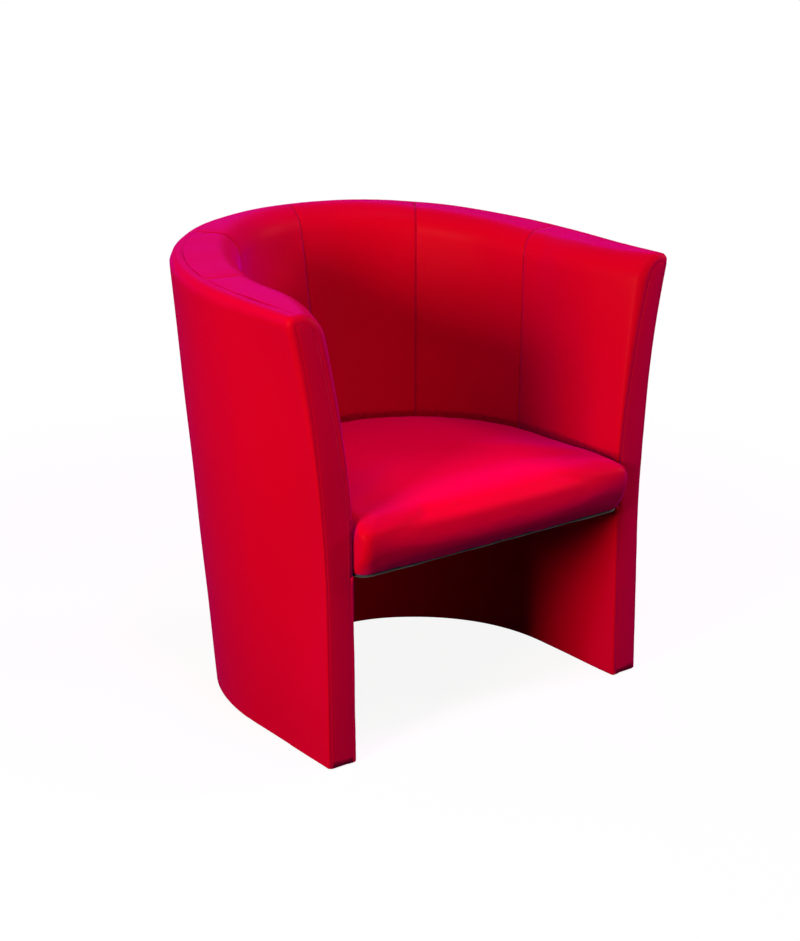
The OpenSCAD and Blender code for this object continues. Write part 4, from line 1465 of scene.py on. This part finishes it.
@dataclass(frozen=True)
class Fixings:
    """What repeats along a line, such as stitches or staples."""

    spacing: float
    length: float
    radius: float
    finish: Finish
    slot: str
    seed: int = 3
    least: float = 0.86
    most: float = 1.1
    around: int = 6
    along: int = 4

    def tree(self) -> bpy.types.NodeTree:
        """Builds the geometry tree that sets the fixings along a curve."""
        tree = bpy.data.node_groups.new("fixings", "GeometryNodeTree")
        face = tree.interface
        face.new_socket("Line", in_out="INPUT", socket_type="NodeSocketGeometry")
        for label in ("Spacing", "Length", "Radius"):
            face.new_socket(label, in_out="INPUT", socket_type="NodeSocketFloat")
        face.new_socket("Fixings", in_out="OUTPUT", socket_type="NodeSocketGeometry")
        new, link = tree.nodes.new, tree.links.new
        given, out = new("NodeGroupInput"), new("NodeGroupOutput")
        points = new("GeometryNodeCurveToPoints")
        points.mode = "LENGTH"
        link(given.outputs["Line"], points.inputs["Curve"])
        link(given.outputs["Spacing"], points.inputs["Length"])
        bead = new("GeometryNodeMeshUVSphere")
        bead.inputs["Segments"].default_value = self.around
        bead.inputs["Rings"].default_value = self.along
        bead.inputs["Radius"].default_value = 1.0
        half = new("ShaderNodeMath")
        half.operation = "MULTIPLY"
        half.inputs[1].default_value = 0.5
        link(given.outputs["Length"], half.inputs[0])
        size = new("ShaderNodeCombineXYZ")
        link(given.outputs["Radius"], size.inputs[0])
        link(given.outputs["Radius"], size.inputs[1])
        link(half.outputs[0], size.inputs[2])
        shape = new("GeometryNodeTransform")
        link(bead.outputs["Mesh"], shape.inputs["Geometry"])
        link(size.outputs[0], shape.inputs["Scale"])
        vary = new("FunctionNodeRandomValue")
        vary.data_type = "FLOAT"
        vary.inputs[2].default_value = self.least
        vary.inputs[3].default_value = self.most
        vary.inputs["Seed"].default_value = self.seed
        each = new("GeometryNodeInstanceOnPoints")
        link(points.outputs["Points"], each.inputs["Points"])
        link(points.outputs["Rotation"], each.inputs["Rotation"])
        link(shape.outputs["Geometry"], each.inputs["Instance"])
        link(vary.outputs[1], each.inputs["Scale"])
        real = new("GeometryNodeRealizeInstances")
        link(each.outputs["Instances"], real.inputs["Geometry"])
        coat = new("GeometryNodeSetMaterial")
        coat.inputs["Material"].default_value = MATERIALS[self.finish]
        link(real.outputs["Geometry"], coat.inputs["Geometry"])
        link(coat.outputs["Geometry"], out.inputs["Fixings"])
        return tree

    def build(self, name: str, lines: Sequence[Array]) -> None:
        """Sets the fixings along lines, as one plain mesh.

        Args:
            name: Name of the piece.
            lines: The lines' points in metres.
        """
        curve = bpy.data.curves.new(name + "_line", "CURVE")
        curve.dimensions = "3D"
        for line in lines:
            spline = curve.splines.new("POLY")
            spline.points.add(len(line) - 1)
            spline.points.foreach_set("co", np.c_[line, np.ones(len(line))].ravel())
        guide = bpy.data.objects.new(name + "_line", curve)
        bpy.context.scene.collection.objects.link(guide)
        row = guide.modifiers.new("fixings", "NODES")
        row.node_group = self.tree()
        values = {"Spacing": self.spacing, "Length": self.length, "Radius": self.radius}
        for item in row.node_group.interface.items_tree:
            if item.name in values:
                row[item.identifier] = values[item.name]
        graph = bpy.context.evaluated_depsgraph_get()
        mesh = bpy.data.meshes.new_from_object(guide.evaluated_get(graph))
        mesh.name = name
        bpy.data.objects.remove(guide)
        made = bpy.data.objects.new(name, mesh)
        bpy.context.scene.collection.objects.link(made)
        mesh.polygons.foreach_set("use_smooth", [True] * len(mesh.polygons))
        finish_piece(made, self.finish, ())


@dataclass
class Trimmings:
    """Stitches in the seams and staples in the hems."""

    form: TubForm
    path: RimPath
    turn: FrontTurn
    facing: ArmFacing
    sunk: float = 0.5 * MM
    staple_in: float = 9.0 * MM
    staple_drop: float = 0.2 * MM
    hem_ends: tuple[float, float] = (0.12, 2.88)
    hem_points: int = 300
    rim_points: int = 400

    def seam_lines(self) -> list[Array]:
        """The five seams between the inside panels, over the rim and down to the seat."""
        form = self.form
        side, back = form.along(form.side_seam), form.along(form.back_seam)
        places = (side, back, form.middle, 3.0 - back, 3.0 - side)
        return [self.path.rows(u, self.sunk)[2:] for u in places]

    def rim_line(self) -> Array:
        """The seam along the rim's top, behind its outer edge."""
        form = self.form
        start = self.turn.radius / form.arm_len
        u = np.linspace(start, 3.0 - start, self.rim_points)
        return form.outer(u, form.rim_r + form.rim_seam, form.rim_height(u) - self.sunk)

    def hem_lines(self) -> list[Array]:
        """The rows of staples in the hems under the base."""
        form = self.form
        u = np.linspace(*self.hem_ends, self.hem_points)
        z = np.full_like(u, form.base_z - self.staple_drop)
        return [form.outer(u, self.staple_in, z), form.lower(u, self.staple_in, z)]

    def build(self) -> None:
        """Makes the stitches and the staples."""
        stitch = Fixings(spacing=4.2 * MM, length=3.4 * MM, radius=0.42 * MM,
                         finish=Finish.THREAD, slot="red_leathercloth")
        stitch.build("panel_stitches", self.seam_lines())
        stitch.build("rim_stitches", [self.rim_line()])
        stitch.build("facing_stitches", [self.facing.seam_line(arm) for arm in Side])
        staple = Fixings(spacing=26.0 * MM, length=11.0 * MM, radius=0.5 * MM,
                         finish=Finish.STEEL, slot="screw_steel")
        staple.build("hem_staples", self.hem_lines())


@dataclass
class DustCover:
    """The black cloth stapled under the seat, with its folded edge under the nose."""

    cushion: SeatCushion
    thickness: float = 0.5 * MM
    fold: float = 2.4 * MM
    fold_w: float = 5.0 * MM
    fold_points: int = 9
    fold_in: float = 2.0 * MM
    flap_in: float = 14.0 * MM
    middle_in: float = 30.0 * MM
    gap: float = 0.06 * MM
    sag_back: float = 45.0 * MM
    sag_over: float = 25.0 * MM
    sway: float = 0.8 * MM
    sway_wave: float = 60.0 * MM
    cut: tuple[float, float] = (0.525, 0.445)
    cut_area: float = 0.202

    def build(self) -> None:
        """Makes the closed sheet of cloth."""
        cushion, form = self.cushion, self.cushion.form
        edge = cushion.ring(0.0)
        top_z = cushion.hem_z - self.gap
        inward = np.array([0.0, form.arm_len - form.origin_y, 0.0]) - edge
        inward[:, 2] = 0.0
        inward /= np.linalg.norm(inward, axis=1, keepdims=True)
        sag = ease((form.front_y(form.seat_h) + self.sag_back - edge[:, 1]) / self.sag_over)
        waves = ripple(edge * np.array([1.0, 0.1, 0.1]), self.sway_wave, 21)
        deep = self.thickness + (self.fold + self.sway * waves * sag - self.thickness) * sag

        def level(inset: float, drop: Array | float) -> Array:
            ring = edge + inward * inset
            ring[:, 2] = top_z - drop
            return ring

        rings = [level(self.middle_in, 0.0), level(self.fold_in + self.fold_w, 0.0)]
        for a in np.radians(np.linspace(0.0, 180.0, self.fold_points)):
            inset = self.fold_in + self.fold_w / 2 * (1 - math.sin(a))
            rings.append(level(inset, deep * (1 - math.cos(a)) / 2))
        hanging = self.thickness + self.fold * 0.6 * sag
        rings.append(level(self.fold_in + self.fold_w * 1.5, hanging))
        rings.append(level(self.flap_in, self.thickness))
        rings.append(level(self.middle_in, self.thickness))
        faces = ring_faces(len(rings), len(edge))
        made = smooth_object("dust_cover_cloth", np.concatenate(rings), faces)
        close_solid(made)
        finish_piece(made, Finish.BLACK_CLOTH, ("dust_cover",))


@dataclass(frozen=True)
class Lamp:
    """A soft square lamp that points at the middle of the chair."""

    name: str
    place: Place
    size: float
    power: float
    color: Color

    def build(self) -> None:
        """Makes the lamp."""
        data = bpy.data.lights.new(self.name, "AREA")
        data.shape, data.size = "SQUARE", self.size
        data.energy, data.color = self.power, self.color
        made = bpy.data.objects.new(self.name, data)
        made.location = self.place
        way = Vector((0.0, 0.0, 0.42)) - Vector(self.place)
        made.rotation_euler = way.to_track_quat("-Z", "Y").to_euler()
        bpy.context.scene.collection.objects.link(made)


LAMPS = (
    Lamp("key", (-2.82, -0.86, 1.22), size=0.8, power=114.0, color=(1.0, 0.9, 0.6)),
    Lamp("front", (0.8, -3.0, 1.1), size=1.2, power=10.0, color=(1.0, 0.9, 0.7)),
    Lamp("right", (2.6, -0.9, 1.7), size=0.8, power=55.0, color=(1.0, 0.8, 0.7)),
    Lamp("back", (0.9, 1.9, 2.4), size=2.0, power=34.0, color=(0.9, 0.3, 1.0)),
    Lamp("top", (-0.5, -1.1, 3.7), size=0.7, power=84.0, color=(0.85, 0.3, 1.0)),
)


@dataclass(frozen=True)
class Studio:
    """A pale floor, soft lamps and the photograph's camera.

    Round the chair the floor the camera sees is part glow and part shaded white, so that it keeps
    the shadow. Further away it is plain white.
    """

    eye: Place = (-1.8397, -2.4190, 1.3362)
    aim: Place = (0.0, 0.0446, 0.3885)
    lens: float = 74.45
    shift: tuple[float, float] = (0.030, -0.036)
    sky: float = 0.03
    floor_half: float = 60.0
    floor_shade: float = 0.05
    floor_seen: float = 0.25
    plain_from: float = 0.9
    plain_to: float = 2.6
    glow: float = 1.3
    glow_share: float = 0.7

    def camera(self) -> None:
        """Makes the camera at the photograph's viewing angle."""
        data = bpy.data.cameras.new("photo_camera")
        data.lens, data.sensor_width = self.lens, 36.0
        data.shift_x, data.shift_y = self.shift
        data.clip_end = 50.0
        made = bpy.data.objects.new("photo_camera", data)
        made.location = self.eye
        way = Vector(self.aim) - Vector(self.eye)
        made.rotation_euler = way.to_track_quat("-Z", "Y").to_euler()
        bpy.context.scene.collection.objects.link(made)
        bpy.context.scene.camera = made

    def world(self) -> None:
        """Makes the plain surroundings, which the camera sees as white."""
        world = bpy.data.worlds.new("studio")
        bpy.context.scene.world = world
        world.use_nodes = True
        build = NodeBuilder(world.node_tree)
        light = build.add("ShaderNodeBackground")
        light.inputs["Color"].default_value = (1.0, 1.0, 1.0, 1.0)
        strength = build.ramp(self.seen(build), 0.0, 1.0, self.sky, 1.0)
        build.feed(strength, light.inputs["Strength"])
        out = build.add("ShaderNodeOutputWorld")
        build.tree.links.new(light.outputs[0], out.inputs["Surface"])

    @staticmethod
    def seen(build: NodeBuilder) -> bpy.types.NodeSocket:
        """1 where the camera sees a surface, straight or in a reflection, and 0 elsewhere."""
        path = build.add("ShaderNodeLightPath")
        total = path.outputs["Is Camera Ray"]
        for name in ("Is Glossy Ray", "Is Transmission Ray"):
            total = build.math("MAXIMUM", total, path.outputs[name])
        return total

    def floor(self) -> None:
        """Makes the pale floor, which keeps the chair's shadow."""
        half = self.floor_half
        corners = [(-half, -half, 0.0), (half, -half, 0.0), (half, half, 0.0), (-half, half, 0.0)]
        made = smooth_object("floor", np.array(corners), [(0, 1, 2, 3)])
        material = bpy.data.materials.new("pale_floor")
        material.use_nodes = True
        build = NodeBuilder(material.node_tree)
        matte = build.add("ShaderNodeBsdfDiffuse")
        seen = self.seen(build)
        shade = build.math("MULTIPLY_ADD", seen, self.floor_seen, self.floor_shade)
        build.feed(shade, matte.inputs["Color"])
        glow = build.add("ShaderNodeEmission")
        away = build.add("ShaderNodeVectorMath", operation="LENGTH")
        build.feed(build.place(), away.inputs[0])
        far = build.ramp(away.outputs["Value"], self.plain_from, self.plain_to)
        strength = build.math("MULTIPLY_ADD", far, 1.0 - self.glow, self.glow)
        build.feed(strength, glow.inputs["Strength"])
        both = build.add("ShaderNodeMixShader")
        share = build.math("MULTIPLY_ADD", far, 1.0 - self.glow_share, self.glow_share)
        build.feed(build.math("MULTIPLY", seen, share), both.inputs[0])
        build.tree.links.new(matte.outputs[0], both.inputs[1])
        build.tree.links.new(glow.outputs[0], both.inputs[2])
        out = build.add("ShaderNodeOutputMaterial")
        build.tree.links.new(both.outputs[0], out.inputs["Surface"])
        made.data.materials.append(material)

    def build(self) -> None:
        """Sets up the whole studio."""
        bpy.context.scene.view_settings.view_transform = "Standard"
        self.camera()
        self.world()
        self.floor()
        for lamp in LAMPS:
            lamp.build()


def main() -> None:
    """Builds the studio, the materials and the chair's covers in order."""
    logging.basicConfig(level=logging.INFO, format="%(name)s: %(message)s")
    for old in list(bpy.data.objects):
        bpy.data.objects.remove(old)
    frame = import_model()
    studio = Studio()
    studio.build()
    workshop = Workshop()
    workshop.stock()
    workshop.dress_frame(frame["nodes"])
    form = TubForm()
    path = RimPath(form, tuple(f * MM for f in FINE_ROWS))
    turn = FrontTurn()
    soft = SeamShape()
    taut = SeamShape(swell=1.6 * MM, swell_over=16.0 * MM, groove=0.5 * MM, pucker=0.2 * MM,
                     wave=0.35 * MM, wave_length=140.0 * MM)
    front = SeamShape(swell=1.3 * MM, swell_over=15.0 * MM, groove=0.2 * MM)
    covers = TubCovers(form, path, turn, soft, taut)
    covers.inside_panels()
    covers.outer_cover()
    covers.lower_cover()
    facing = ArmFacing(form, path, turn, front)
    facing.dress()
    cushion = SeatCushion(form)
    cushion.build()
    DustCover(cushion).build()
    Trimmings(form, path, turn, facing).build()


if __name__ == "__main__":
    main()
